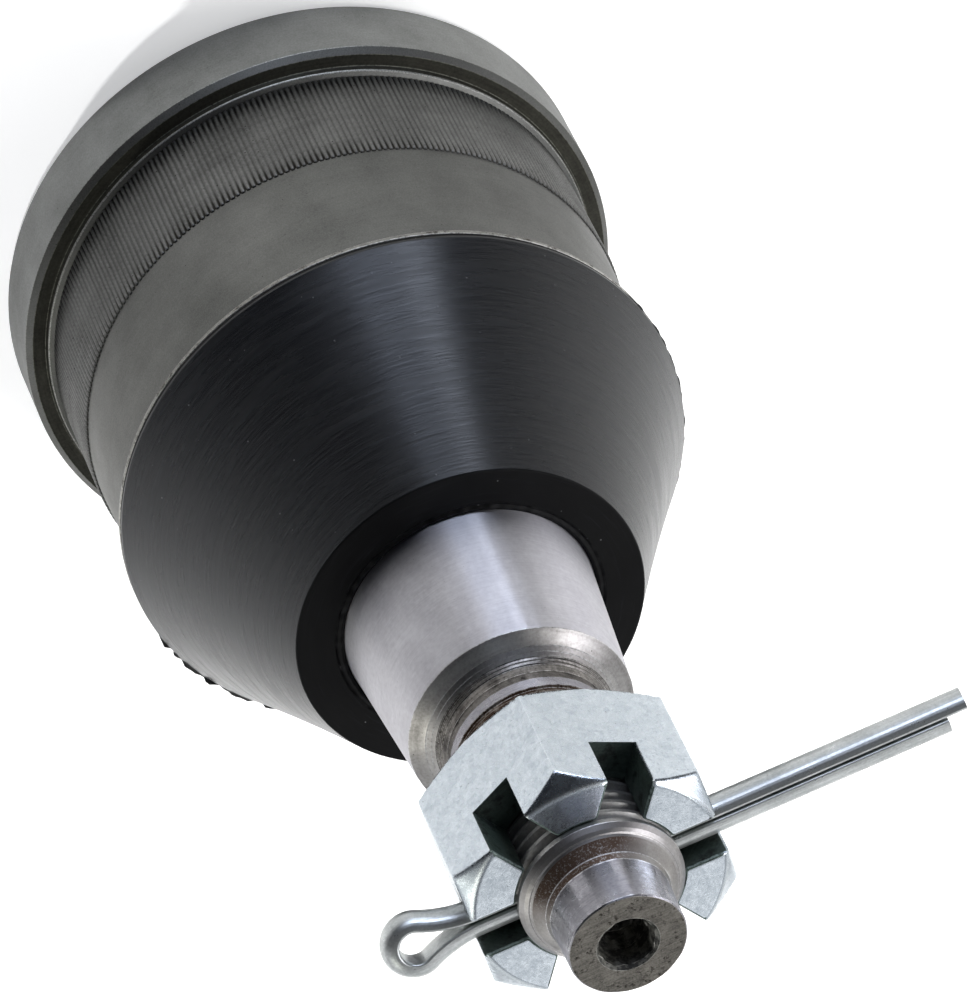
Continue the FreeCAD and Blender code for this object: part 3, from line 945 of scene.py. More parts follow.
def thread_tree() -> Tree:
    """Build the tree that winds one ridge of a screw thread along a spiral.

    The ridge fades out at its ends and sinks where the cotter pin's hole crosses it.

    Returns:
        The tree.
    """
    tree, given, result = start_tree(
        "screw_thread", "Turns", "Root Radius", "Length", "Start", "Ridge Width", "Crest Width",
        "Ridge Height", "Hole Radius", "Hole Level")
    add = partial(add_node, tree)
    spiral = add("GeometryNodeCurveSpiral", {}, {
        "Resolution": 64, "Rotations": given["Turns"], "Start Radius": given["Root Radius"],
        "End Radius": given["Root Radius"], "Height": given["Length"]})
    place = add("GeometryNodeInputPosition")
    parts = add("SeparateXYZ", {}, {0: place}).outputs
    over = add("Math", {"operation": "SUBTRACT"}, {0: parts[2], 1: given["Hole Level"]})
    aside = add("CombineXYZ", {}, {0: parts[1], 1: over})
    distance = add("VectorMath", {"operation": "LENGTH"}, {0: aside})
    clear = add("Math", {"operation": "SUBTRACT"}, {0: distance, 1: given["Hole Radius"]})
    shrink = add("MapRange", {}, {0: clear, 1: 0.2 * MM, 2: 0.8 * MM, 3: 0.84, 4: 1.0})
    inward = add("CombineXYZ", {}, {0: shrink, 1: shrink, 2: 1.0})
    sunk = add("VectorMath", TIMES, {0: place, 1: inward})
    moved = add("GeometryNodeSetPosition", {}, {0: spiral, "Position": sunk})
    upright = add("GeometryNodeSetCurveNormal", {"mode": "Z_UP"}, {0: moved})
    along = add("GeometryNodeSplineParameter")
    rise = add("MapRange", {}, {0: along, 1: 0.0, 2: 0.06, 3: 0.25, 4: 1.0})
    fall = add("MapRange", {}, {0: along, 1: 0.96, 2: 1.0, 3: 1.0, 4: 0.6})
    size = add("Math", TIMES, {0: rise, 1: fall})
    profile = add("GeometryNodeCurvePrimitiveQuadrilateral", {"mode": "TRAPEZOID"}, {
        "Bottom Width": given["Ridge Width"], "Top Width": given["Crest Width"],
        "Height": given["Ridge Height"], "Offset": 0.0})
    turned = add("GeometryNodeTransform", {}, {0: profile, "Rotation": (0.0, 0.0, math.pi / 2)})
    ridge = add("GeometryNodeCurveToMesh", {}, {
        "Curve": upright, "Profile Curve": turned, "Scale": size, "Fill Caps": True})
    lift = add("CombineXYZ", {}, {2: given["Start"]})
    lifted = add("GeometryNodeTransform", {}, {0: ridge, "Translation": lift})
    flat = add("GeometryNodeSetShadeSmooth", {}, {0: lifted, "Shade Smooth": False})
    feed(tree, result, {0: add("GeometryNodeSetMaterial", {}, {0: flat, "Material": given["Finish"]})})
    return tree


def drill_tree() -> Tree:
    """Build the tree that drills the cotter pin's hole across a piece.

    Returns:
        The tree.
    """
    tree, given, result = start_tree("cotter_hole", "Hole Radius", "Hole Height")
    add = partial(add_node, tree)
    drill = add("GeometryNodeMeshCylinder", {}, {
        "Vertices": 40, "Radius": given["Hole Radius"], "Depth": 40 * MM})
    lift = add("CombineXYZ", {}, {2: given["Hole Height"]})
    across = add("GeometryNodeTransform", {}, {
        0: drill, "Translation": lift, "Rotation": (0.0, math.pi / 2, 0.0)})
    dressed = add("GeometryNodeSetMaterial", {}, {0: across, "Material": given["Finish"]})
    drilled = add("GeometryNodeMeshBoolean", {"operation": "DIFFERENCE", "solver": "EXACT"}, {
        0: given["Geometry"], 1: dressed})
    feed(tree, result, {0: drilled})
    return tree


def wire_tree() -> Tree:
    """Build the tree that sweeps a half-round wire along the path of the split pin.

    Returns:
        The tree.
    """
    tree, given, result = start_tree("half_round_wire", "Wire Radius", "Edge Radius")
    add = partial(add_node, tree)
    path = add("GeometryNodeMeshToCurve", {}, {0: given["Geometry"]})
    upright = add("GeometryNodeSetCurveNormal", {"mode": "Z_UP"}, {0: path})
    half = add("GeometryNodeCurveArc", {"mode": "RADIUS"}, {
        "Resolution": 22, "Radius": given["Wire Radius"], "Start Angle": math.pi / 2, "Sweep Angle": math.pi})
    closed = add("GeometryNodeSetSplineCyclic", {}, {0: half, "Cyclic": True})
    eased = add("GeometryNodeFilletCurve", {"mode": "POLY"}, {
        0: closed, "Count": 3, "Radius": given["Edge Radius"], "Limit Radius": True})
    swept = add("GeometryNodeCurveToMesh", {}, {"Curve": upright, "Profile Curve": eased, "Fill Caps": True})
    smooth = add("GeometryNodeSetShadeSmooth", {}, {0: swept, "Shade Smooth": True})
    feed(tree, result, {0: add("GeometryNodeSetMaterial", {}, {0: smooth, "Material": given["Finish"]})})
    return tree


# ---------------------------------------------------------------- the joint


def dress(piece: Piece, body: Body | None, nodes: Sequence[str] = ()) -> None:
    """Fasten a finished piece to its body and hide the nodes that it stands for.

    Args:
        piece: The finished piece.
        body: The body it rides on, or None for a piece that lies between two bodies and is fastened to
            neither.
        nodes: The CAD nodes that it replaces.
    """
    if body is not None:
        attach(piece, body.value)
    if nodes:
        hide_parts(*nodes)
    count = len(piece.data.polygons)
    LOG.info("%s: %d faces, stands for %s", piece.name, count, ", ".join(nodes) or "no node")


@dataclass
class Housing:
    """The forged body with its flange, serrated band, shoulder, spigot and rolled lip."""

    base: float = -21.0
    flange_radius: float = 30.2
    flange_top: float = -12.5
    flange_chamfer: float = 0.6
    bead_radius: float = 28.15
    bead_top: float = -11.75
    band_radius: float = 27.7
    band_root: float = 27.32
    band_top: float = 1.3
    shoulder_radius: float = 27.45
    shoulder_middle: tuple[float, float] = (27.15, 8.0)
    shoulder_top_radius: float = 26.5
    ledge: float = 16.827
    spigot_radius: float = 24.388
    spigot_top: float = 20.227
    throat_top_radius: float = 21.788
    throat_radius: float = 17.9
    throat: float = 10.877
    bore: float = 21.45
    bore_middle: float = 5.5
    cover_top: float = -17.6
    cover_base: float = -20.1
    cover_radius: float = 23.45
    lip_width: float = 2.2
    lip_rounding: float = 0.3
    serrations: int = 296
    serration_base: float = -0.42
    unevenness: float = 0.14
    valley_middle: float = 0.15
    valley_ends: float = 0.32
    valley_run_in: float = 1.4

    # Levels of the rings of a serration as shares of its length: close at its ends, where its shape changes.
    LEVELS = np.array([0.0, 0.12, 0.5, 1.2, 2.4, 4.5, 6.5, 8.6, 10.6, 11.6, 12.2, 12.6, 12.9, 13.05]) / 13.05

    def body(self) -> Piece:
        """Turn the forged body, with the band's core under the serrations.

        Returns:
            The body.
        """
        forged, rim, shaded_recess = range(3)
        inner, top = self.flange_radius - self.flange_chamfer, self.flange_top
        shoulder = (self.shoulder_radius, self.band_top - 0.1)
        throat_edge, bore_arc = (
            (math.sqrt(self.bore ** 2 - height ** 2), height) for height in (self.throat, self.bore_middle))
        lip, roll = self.cover_radius - self.lip_width, self.lip_rounding
        corners = [
            *run(forged, (inner, self.base, 0.15)),
            # The rim's brighter steel is painted light.
            *run(rim, (self.flange_radius, self.base + self.flange_chamfer, 0.2),
                 (self.flange_radius, top - self.flange_chamfer, 0.12)),
            *run(forged, (inner, top, 0.08)),
            # The recess's darker steel is painted shade.
            *run(shaded_recess, (self.bead_radius + 0.15, top, 0.1), (self.bead_radius, self.bead_top - 0.15, 0.25)),
            *run(forged, (self.band_radius - 0.12, self.bead_top + 0.05, 0.12)),
            *run(shaded_recess, (self.band_root, self.bead_top + 0.2), (self.band_root, self.band_top - 0.25)),
            *run(forged, (*shoulder, 0.05)),
            *arc_corners(shoulder, self.shoulder_middle, (self.shoulder_top_radius, self.ledge), 10),
            *run(forged, (self.shoulder_top_radius, self.ledge, 0.2), (self.spigot_radius, self.ledge, 0.2),
                 (self.spigot_radius, self.spigot_top, 0.4), (self.throat_top_radius, self.spigot_top, 0.3),
                 (self.throat_radius, self.throat, 0.3), throat_edge),
            *arc_corners(throat_edge, bore_arc, (self.bore, 0.0), 8),
            *run(forged, (self.bore, 0.0), (self.bore, self.cover_top, 0.1),
                 (self.cover_radius, self.cover_top, 0.1), (self.cover_radius, self.cover_base)),
            *run(rim, (lip + roll, self.cover_base, 0.1), (lip, self.cover_base - roll, 0.1),
                 (lip + roll, self.cover_base - 2 * roll, 0.1), (self.cover_radius + 0.9, self.base, 0.3),
                 (self.cover_radius + 1.6, self.base)),
        ]
        finishes = (PHOSPHATED, LIT_RIM, OILED_RECESS)
        return turn_piece("housing_forging", rounded_section(corners), 288, finishes)

    def serration(self) -> Piece:
        """Make one serration: a bar one pitch wide, with deeper valleys at its ends where the tool ran in.

        Returns:
            The serration, open where it meets its neighbours.
        """
        length = self.band_top - self.bead_top
        half = math.pi * self.band_radius / self.serrations
        points, faces = [], []
        for level in self.LEVELS * length:
            nearest = min(level, length - level)
            run_in = math.exp(-(nearest / self.valley_run_in) ** 2)
            depth = self.valley_middle + (self.valley_ends - self.valley_middle) * run_in
            crest = -0.18 * math.exp(-nearest / 0.08)
            side = [(self.serration_base, 1.0), (-depth, 1.0), (-depth * 0.92, 0.72), (crest - 0.015, 0.34)]
            section = [*((x, -y) for x, y in side), (crest, 0.0), *reversed(side)]
            points.extend((x, y * half * (self.band_radius + x) / self.band_radius, self.bead_top + level)
                          for x, y in section)
        across = len(section)
        for start in range(0, len(points) - across, across):
            around = bridge(start, start + across, across)
            faces += around[1:-2] + around[-1:]
        faces += [tuple(reversed(range(across))), tuple(range(len(points) - across, len(points)))]
        return make_mesh("band_serrations", np.array(points), faces, (KNURLED,))

    def build(self) -> None:
        """Build and dress the housing's pieces."""
        dress(self.body(), Body.BODY, ("housing",))
        ring = run_nodes(self.serration(), serration_tree(), {
            "Count": self.serrations, "Radius": self.band_radius * MM, "Unevenness": self.unevenness,
            "Seed": 4, "Finish": KNURLED.material()})
        dress(ring, Body.BODY)


@dataclass
class Stud:
    """The ball stud: ball, waist, land, taper, threaded shank and pilot."""

    ball_radius: float = 17.5
    flat_radius: float = 10.9
    crown_radius: float = 10.3
    neck: tuple[float, float] = (9.4, 18.5)
    land_radius: float = 12.4
    land: float = 28.0
    taper: float = 39.8
    taper_top: float = 56.9
    taper_top_radius: float = 10.975
    shank_radius: float = 7.94
    thread_root: float = 7.1
    thread_pitch: float = 1.411
    thread_start: float = 64.6
    thread_end: float = 81.5
    ridge_width: float = 0.94
    crest_width: float = 0.28
    face: float = 82.55
    pilot_radius: float = 5.7
    pilot_top: float = 90.0
    hole_radius: float = 2.7
    cross_hole_radius: float = 2.0
    cross_hole: float = 78.7

    # Steps of the turned cone over the taper, and of the grooves after it: radius, height over the taper's
    # end, rounding.
    CONE = ((10.2, 0.42), (9.55, 0.80, 0.04), (9.48, 0.80, 0.04), (9.10, 1.12, 0.04), (9.04, 1.11, 0.04),
            (8.74, 1.38, 0.04))
    GROOVES = ((8.64, 1.42, 0.04), (8.54, 1.60, 0.04), (8.42, 1.66, 0.04), (8.32, 1.88, 0.04),
               (8.20, 1.96, 0.04), (8.12, 2.22, 0.04), (7.99, 2.7, 0.25), (7.95, 3.6))
    # Where the shank's bright start ends over the taper's end, and the shallow groove after it: inset, height
    # over the taper's end, rounding.
    BRIGHT_END = 4.75
    SHANK_GROOVE = ((0.22, 4.95, 0.1), (0.22, 5.3, 0.1), (0.02, 5.5, 0.1))

    def blank(self) -> Piece:
        """Turn the stud without the ridge of its thread.

        Returns:
            The stud, with no hole across it yet.
        """
        # The stained shank by the nut is also painted darker, as painted shade under the nut.
        ground, turned, stained, threaded, thread_end, pilot, sawn, drilled, grooved, rusted = range(10)
        flat, crown = (math.sqrt(self.ball_radius ** 2 - radius ** 2)
                       for radius in (self.flat_radius, self.crown_radius))
        shank, r, hole = self.shank_radius, self.pilot_radius, self.hole_radius
        end, face, top = self.taper_top, self.face, self.pilot_top
        corners = [
            *run(ground, (0.0, -flat)),
            *run(turned, (self.flat_radius, -flat, 0.3)),
            *arc_corners((self.flat_radius, -flat), (self.ball_radius, 0.0), (self.crown_radius, crown), 40,
                         ground),
            *run(ground, (self.crown_radius, crown)),
            *arc_corners((self.crown_radius, crown), self.neck, (self.land_radius, self.land), 14, turned),
            *run(turned, (self.land_radius, self.land, 0.2)),
            *run(ground, (self.land_radius, self.taper), (self.taper_top_radius, end, 0.10)),
            *run(turned, *((radius, end + over, *rest) for radius, over, *rest in self.CONE)),
            *run(grooved, *((radius, end + over, *rest) for radius, over, *rest in self.GROOVES)),
            *run(pilot, (shank, end + self.BRIGHT_END, 0.12)),
            *run(stained, *((shank - inset, end + over, soft) for inset, over, soft in self.SHANK_GROOVE),
                 (shank - 0.02, self.thread_start)),
            *run(threaded, (self.thread_root, self.thread_start + 1.0),
                 (self.thread_root, self.thread_end - 0.3), (shank - 0.06, self.thread_end + 0.1, 0.08),
                 (shank - 0.06, face - 0.40, 0.08)),
            *run(thread_end, (shank - 0.45, face + 0.02, 0.12), (shank - 0.75, face + 0.27, 0.06),
                 (shank - 0.90, face + 0.30, 0.06), (shank - 1.08, face + 0.48)),
            *run(rusted, (r + 0.25, face + 1.62, 0.4), (r + 0.02, face + 2.3, 0.5)),
            *run(pilot, (r - 0.08, top - 0.75, 0.4), (r - 0.08, top - 0.14, 0.08), (r - 0.22, top, 0.08)),
            *run(sawn, (hole + 0.3, top, 0.06)),
            *run(drilled, (hole, top - 0.35, 0.1), (hole - 0.1, top - 2.6, 0.2), (hole - 0.5, top - 4.6, 0.2),
                 (0.0, top - 6.4)),
        ]
        finishes = (
            GROUND, TURNED, STAINED_AND_SHADED, THREADED, THREAD_END, PILOT, END_FACE, CENTRE_HOLE, GROOVED, RUSTED)
        return turn_piece("ball_stud_turned", rounded_section(corners), 160, finishes, self._uneven)

    def _uneven(self, radius: Array, height: Array, turns: Array) -> tuple[Array, Array]:
        """Roughen the drilled centre and the taper's burr, and wave the pilot as a chattering tool does.

        Args:
            radius: Radii of a ring's points.
            height: Their heights.
            turns: Their angles.

        Returns:
            The new radii and heights.
        """
        depth = self.pilot_top - height
        rough = np.where((radius < self.hole_radius + 0.05) & (depth > 0.3) & (depth < 6.5), 0.10, 0.0)
        burr = np.where(np.abs(height - self.taper_top) < 0.12, 0.03, 0.0)
        radius = radius + rough * ripple(turns + depth, 3, (3, 5, 8, 13))
        radius = radius - burr * np.abs(ripple(turns, 5, (7, 19, 31)))
        on_pilot = (height > self.face + 1.8) & (height < self.pilot_top) & (radius > self.hole_radius + 1.0)
        chatter = np.where(on_pilot, 0.022, 0.0)
        return radius - chatter * (1 + ripple(turns, 9, (7, 11, 16))), height

    def build(self) -> None:
        """Build and dress the stud's pieces."""
        drilled = run_nodes(self.blank(), drill_tree(), {
            "Hole Radius": self.cross_hole_radius * MM, "Hole Height": self.cross_hole * MM,
            "Finish": THREADED.material()})
        dress(drilled, Body.STUD, ("ball_stud",))
        length = self.thread_end - self.thread_start
        height = self.shank_radius - self.thread_root
        sizes = {
            "Root Radius": self.thread_root + height / 2 - 0.05, "Length": length, "Start": self.thread_start,
            "Ridge Width": self.ridge_width * self.thread_pitch, "Ridge Height": height + 0.1,
            "Crest Width": self.crest_width * self.thread_pitch, "Hole Radius": self.cross_hole_radius,
            "Hole Level": self.cross_hole - self.thread_start}
        ridge = run_nodes(make_mesh("stud_thread", np.zeros((1, 3)), [], (THREADED,)), thread_tree(), {
            "Turns": length / self.thread_pitch, "Finish": THREADED.material(),
            **{name: size * MM for name, size in sizes.items()}})
        dress(ridge, Body.STUD)


@dataclass
class Boot:
    """The rubber boot, its flash, and the steel ring in its wide end."""

    base: float = 17.38
    rim_radius: float = 28.32
    rim_top: float = 18.0
    top_radius: float = 17.15
    top: float = 40.5
    hollow: float = 0.2
    lip_radius: float = 12.43
    flash: float = 0.5
    flash_patches: tuple[tuple[float, float, float], ...] = ((11.0, 52.0, 1.0), (142.0, 204.0, 0.35))
    pocket_radius: float = 14.65
    pocket_base: float = 35.2
    pocket_top: float = 39.6
    inner_lip: float = 34.3
    cavity_foot: tuple[float, float] = (24.74, 19.88)
    cavity_top: tuple[float, float] = (16.31, 34.3)
    cavity_runs: int = 13
    ring_radius: float = 25.34
    ring_inner_radius: float = 24.44
    ring_edge_radius: float = 28.36
    ring_base: float = 16.88
    ring_top: float = 19.877
    bend_start: float = 20.3
    bend_end: float = 34.0

    def skin(self) -> Piece:
        """Turn the boot with its ragged lip and the moulding flash round its rim.

        Returns:
            The boot.
        """
        buffed, moulded = range(2)
        rim, top = np.array((self.rim_radius, self.rim_top)), np.array((self.top_radius, self.top))
        slope = top - rim
        outwards = np.array([slope[1], -slope[0]]) / np.linalg.norm(slope)
        middle = tuple(rim + slope / 2 - outwards * self.hollow)
        foot, roof = np.array(self.cavity_foot), np.array(self.cavity_top)
        shares = np.linspace(0, 1, self.cavity_runs + 1)[1:-1]
        inside = [share * foot + (1 - share) * roof for share in shares]
        lip, inner, flash = self.lip_radius, self.lip_radius + 0.27, self.rim_radius + self.flash
        corners = [
            *run(buffed, (self.ring_radius, self.base), (self.rim_radius, self.base, 0.1),
                 (self.rim_radius + 0.02, self.base + 0.14)),
            *run(moulded, (flash, self.base + 0.16), (flash, self.base + 0.34),
                 (self.rim_radius + 0.02, self.base + 0.44)),
            *run(buffed, (*rim, 0.25)),
            *arc_corners(tuple(rim), middle, tuple(top), 30),
            *run(buffed, (*top, 0.22)),
            *run(moulded, (lip + 0.95, self.top - 0.03, 0.2), (lip + 0.7, self.top - 0.16, 0.1),
                 (lip + 0.35, self.top + 0.05, 0.12), (lip, self.top - 0.25, 0.1)),
            *run(buffed, (lip + 0.1, self.pocket_top, 0.1), (self.pocket_radius, self.pocket_top, 0.1),
                 (self.pocket_radius, self.pocket_base, 0.1), (inner, self.pocket_base, 0.1),
                 (inner, self.inner_lip, 0.1), (*self.cavity_top, 0.3), *inside, self.cavity_foot,
                 (self.ring_radius, self.cavity_foot[1])),
        ]
        finishes = (RUBBER, MOULDED_END)
        return turn_piece("boot_rubber_skin", rounded_section(corners), 360, finishes, self._ragged)

    def _ragged(self, radius: Array, height: Array, turns: Array) -> tuple[Array, Array]:
        """Tear the flash at the rim and the lip at the stud unevenly.

        Args:
            radius: Radii of a ring's points.
            height: Their heights.
            turns: Their angles.

        Returns:
            The new radii and heights.
        """
        flash = np.where(radius > self.rim_radius + 0.1, 1.0, 0.0)
        teeth = np.clip(0.66 + 0.5 * ripple(turns, 11, (31, 47, 71, 103)), 0.0, 1.0)
        patches = np.zeros_like(turns)
        for start, end, share in self.flash_patches:
            along = (turns - math.radians(start)) % math.tau / math.radians(end - start)
            patch = np.where(along < 1, share * np.clip(3 * np.sin(along * math.pi), 0, 1), 0.0)
            patches = np.maximum(patches, patch)
        lip = np.where((radius < self.lip_radius + 0.9) & (height > self.top - 0.2), 1.0, 0.0)
        radius = radius - flash * self.flash * (1 - patches * teeth)
        height = height + flash * patches * 0.12 * ripple(turns, 13, (17, 29, 53))
        return radius, height + lip * 0.06 * ripple(turns, 14, (7, 19, 33, 58))

    def base_ring(self) -> Piece:
        """Turn the steel ring in the wide end, whose sheared edge shows under the rim.

        Returns:
            The ring.
        """
        inner, outer, wall = self.ring_inner_radius, self.ring_edge_radius, self.ring_radius - 0.01
        base, ledge, top = self.ring_base, self.base - 0.02, self.ring_top
        corners = run(0, (inner, base, 0.05), (outer, base, 0.08), (outer, ledge, 0.08), (wall, ledge, 0.1),
                      (wall, top, 0.15), (inner, top, 0.15))
        return turn_piece("boot_ring_steel", rounded_section(corners), 288, (RING,))

    def build(self) -> None:
        """Build and dress the boot's pieces."""
        skin = self.skin()
        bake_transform(skin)
        dress(skin, None, ("boot",))
        dress(self.base_ring(), Body.BOOT_AND_BEARING, ("boot_base_ring",))


@dataclass
class CastleNut:
    """The slotted nut: six teeth over a hexagon body, with rubbed edges, and slots darkened as painted shade.
    """

    across_flats: float = 24.1
    base: float = 67.8
    top: float = 81.7
    slot_floor: float = 75.9
    slot_width: float = 4.4
    bore: float = 7.99
    bore_chamfer: float = 0.6
    face_radius: float = 11.95
    top_chamfer: float = 38.0
    base_chamfer: float = 32.0
    ease: float = 0.13
    tooth_fillet: float = 0.22
    tooth_centre: float = 10.2
    tooth_points: int = 112

    # Angles of the body's points from a corner of the hexagon on: close together where the corner rounds.
    CORNER_ANGLES = (0.5, 1.1, 1.7, 2.4, 3.3, 4.5, 6, 8, 11, 15, 20, 25)
    # Levels of the body's rings over its base, and under the floor of the slots.
    BASE_LEVELS = (0.0, 0.05, 0.12, 0.25, 0.45, 0.7, 0.95, 1.2, 1.5, 2.2)
    FLOOR_LEVELS = (1.0, 0.03, 0.0)
    # Levels of a tooth's rings over the floor of the slots, and under its top.
    TOOTH_FOOT, TOOTH_HEAD = (0.0, 0.05, 1.5, 3.0, 3.8), (1.75, 1.55, 1.35, 1.15, 0.95, 0.75, 0.55, 0.4)
    # How far a ray from the axis or from a tooth's centre may run, and how often its length is halved.
    FARTHEST, HALVINGS = 16.0, 40
    # Half the angle that one side of the hexagon spans.
    HALF_SIDE = math.pi / 6
    # The numbers of the nut's two finishes: the plating, and the darker steel of slots and bore, which is
    # painted shade.
    PLATED, OILED = 0, 1
    # How worn the base's rim and the bore's edges are, and how far over the base that rim reaches.
    RIM_WEAR, BORE_WEAR, BASE_RIM = 0.9, 0.2, 0.12
    # The size of the face in a tooth's top, within a ring that keeps it flat.
    TOP_SHRINK = 0.93

    def _smooth_max(self, first: Array, second: Array) -> Array:
        """Give the larger of two distances, eased where they meet so that the edge is rounded."""
        near = np.maximum(self.ease - np.abs(first - second), 0)
        return np.maximum(first, second) + near ** 2 / (4 * self.ease)

    def _edge(self, *distances: Array) -> Array:
        """Give how close points lie to where the two largest distances meet, from 0 to 1."""
        *_, second, largest = np.sort(np.stack(distances), axis=0)
        return np.clip(1 - (largest - second) / (0.8 * self.ease), 0, 1)

    def _outside(self, x: Array, y: Array, limit: float) -> tuple[Array, Array]:
        """Give how far points lie outside the hexagon and the chamfer's circle.

        Args:
            x: First coordinates, with a corner of the hexagon along +X.
            y: Second coordinates.
            limit: Radius of the chamfer at this level.

        Returns:
            The eased distance and how close each point lies to an edge, from 0 to 1.
        """
        cos, sin = math.cos(self.HALF_SIDE), math.sin(self.HALF_SIDE)
        upper, lower = (x * cos + sign * y * sin - self.across_flats / 2 for sign in (1, -1))
        circle = np.hypot(x, y) - limit
        return self._smooth_max(self._smooth_max(upper, lower), circle), self._edge(upper, lower, circle)

    def _walls(self, x: Array, y: Array) -> tuple[Array, Array, Array]:
        """Give how far points lie past a tooth's two slot walls and inside the bore.

        Args:
            x: First coordinates, with the tooth along +X.
            y: Second coordinates.

        Returns:
            The three distances.
        """
        cos, sin = math.cos(self.HALF_SIDE), math.sin(self.HALF_SIDE)
        left, right = (self.slot_width / 2 - (x * sin - sign * y * cos) for sign in (1, -1))
        return left, right, self.bore + 0.02 - np.hypot(x, y)

    def _limit(self, level: float) -> float:
        """Give the radius that the two chamfers leave at a level.

        Args:
            level: The level, as a height over the ball's centre.

        Returns:
            The radius.
        """
        from_top = (self.top - level) / math.tan(math.radians(self.top_chamfer))
        from_base = (level - self.base) / math.tan(math.radians(self.base_chamfer))
        return self.face_radius + min(from_top, from_base)

    def _cast(self, centre: float, turns: Array, distance: Callable[[Array, Array], Array]) -> Array:
        """Find how far rays run until a distance turns positive.

        Args:
            centre: Where on the X axis the rays start.
            turns: The rays' angles.
            distance: Gives how far points lie outside.

        Returns:
            Each ray's length.
        """
        low, high = np.zeros_like(turns), np.full_like(turns, self.FARTHEST)
        for _ in range(self.HALVINGS):
            middle = (low + high) / 2
            outside = distance(centre + middle * np.cos(turns), middle * np.sin(turns)) > 0
            low, high = np.where(outside, low, middle), np.where(outside, middle, high)
        return low

    def body(self) -> Solid:
        """Make the part under the slots.

        Returns:
            Points, faces, the faces' finishes, and how much each point lies on an edge.
        """
        half = np.array(self.CORNER_ANGLES)
        offsets = np.radians([-30, *-half[::-1], 0, *half])
        turns = np.concatenate([np.radians(60 * k) + offsets for k in range(6)])
        local, count = np.tile(offsets, 6), len(turns)
        cos, sin = np.cos(turns + self.HALF_SIDE), np.sin(turns + self.HALF_SIDE)
        rings, edges, marks = [], [], []

        def add_ring(radius: Array | float, level: float, edge: Array | float, finish: int) -> None:
            """Add a ring to the body.

            Args:
                radius: Its radius, or that of each of its points.
                level: Its height.
                edge: How much it lies on an edge.
                finish: The number of the finish of the faces that end at it.
            """
            rings.append(np.stack([radius * cos, radius * sin, np.full(count, level)], 1))
            edges.append(np.broadcast_to(edge, count))
            marks.append(finish)

        depth = self.slot_floor - self.base
        for over in (*self.BASE_LEVELS, *(depth - under for under in self.FLOOR_LEVELS)):
            limit = self._limit(self.base + over)
            inset = self.BASE_RIM * max(0.0, 1 - over / self.BASE_RIM) ** 2
            radius = self._cast(0.0, local, lambda x, y: self._outside(x, y, limit)[0] + inset)
            edge = self._outside(radius * np.cos(local), radius * np.sin(local), limit)[1]
            rim = self.RIM_WEAR if over <= self.BASE_RIM else 0.0
            add_ring(radius, self.base + over, np.maximum(edge, rim), self.PLATED)
        bore, chamfer = self.bore, self.bore_chamfer
        add_ring(bore + 0.15, self.slot_floor, self.BORE_WEAR, self.OILED)
        add_ring(bore, self.slot_floor - 0.15, self.BORE_WEAR, self.OILED)
        add_ring(bore, self.base + chamfer, self.BORE_WEAR, self.OILED)
        add_ring(bore + chamfer, self.base, self.BORE_WEAR, self.PLATED)
        faces, finish = [], []
        for row in range(len(rings)):
            other = (row + 1) % len(rings)
            faces += bridge(row * count, other * count, count)
            finish += [marks[other]] * count
        return np.concatenate(rings), faces, finish, np.concatenate(edges)

    def tooth(self) -> Solid:
        """Make the tooth that points along +X.

        Returns:
            Points, faces, the faces' finishes, and how much each point lies on an edge.
        """
        centre, count, fillet = self.tooth_centre, self.tooth_points, self.tooth_fillet
        turns = np.arange(count) * 2 * math.pi / count
        heights = [(self.slot_floor - 0.3, 0.1), (self.slot_floor - 0.02, 0.1)]
        heights += [(self.slot_floor + over, 0.0) for over in self.TOOTH_FOOT]
        heights += [(self.top - under, 0.0) for under in (*self.TOOTH_HEAD, fillet)]
        heights += [(self.top - fillet * (1 - math.sin(a)), fillet * (1 - math.cos(a)))
                    for a in np.radians([22, 45, 68, 90])]
        rings, edges, classes = [], [], []
        for level, inset in heights:
            limit = self._limit(level)

            def distance(x: Array, y: Array) -> Array:
                """Give the eased distance of points from the tooth's outline at this level.

                Args:
                    x: First coordinates.
                    y: Second coordinates.

                Returns:
                    The distance, which is negative inside.
                """
                total = self._outside(x, y, limit)[0]
                for wall in self._walls(x, y):
                    total = self._smooth_max(total, wall)
                return total + inset

            reach = self._cast(centre, turns, distance)
            x, y = centre + reach * np.cos(turns), reach * np.sin(turns)
            outer, outer_edge = self._outside(x, y, limit)
            walls = self._walls(x, y)
            near_top = 1.0 if 0.02 < self.top - level < fillet * 1.2 else 0.0
            rings.append(np.stack([x, y, np.full(count, level)], 1))
            edges.append(np.maximum(np.maximum(self._edge(outer, *walls), outer_edge), near_top))
            classes.append(np.where(np.max(walls, axis=0) > outer, self.OILED, self.PLATED))
        faces, finish = [], []
        for row in range(1, len(rings)):
            faces += bridge((row - 1) * count, row * count, count)
            finish += classes[row].tolist()
        last = len(rings) * count
        shrink = [self.TOP_SHRINK, self.TOP_SHRINK, 1]
        rings.append((rings[-1] - [centre, 0, 0]) * shrink + [centre, 0, 0])
        edges.append(np.zeros(count))
        faces.append(tuple(reversed(range(count))))
        faces += bridge(last - count, last, count) + [tuple(range(last, last + count))]
        finish += [self.PLATED] * (count + 2)
        return np.concatenate(rings), faces, finish, np.concatenate(edges)

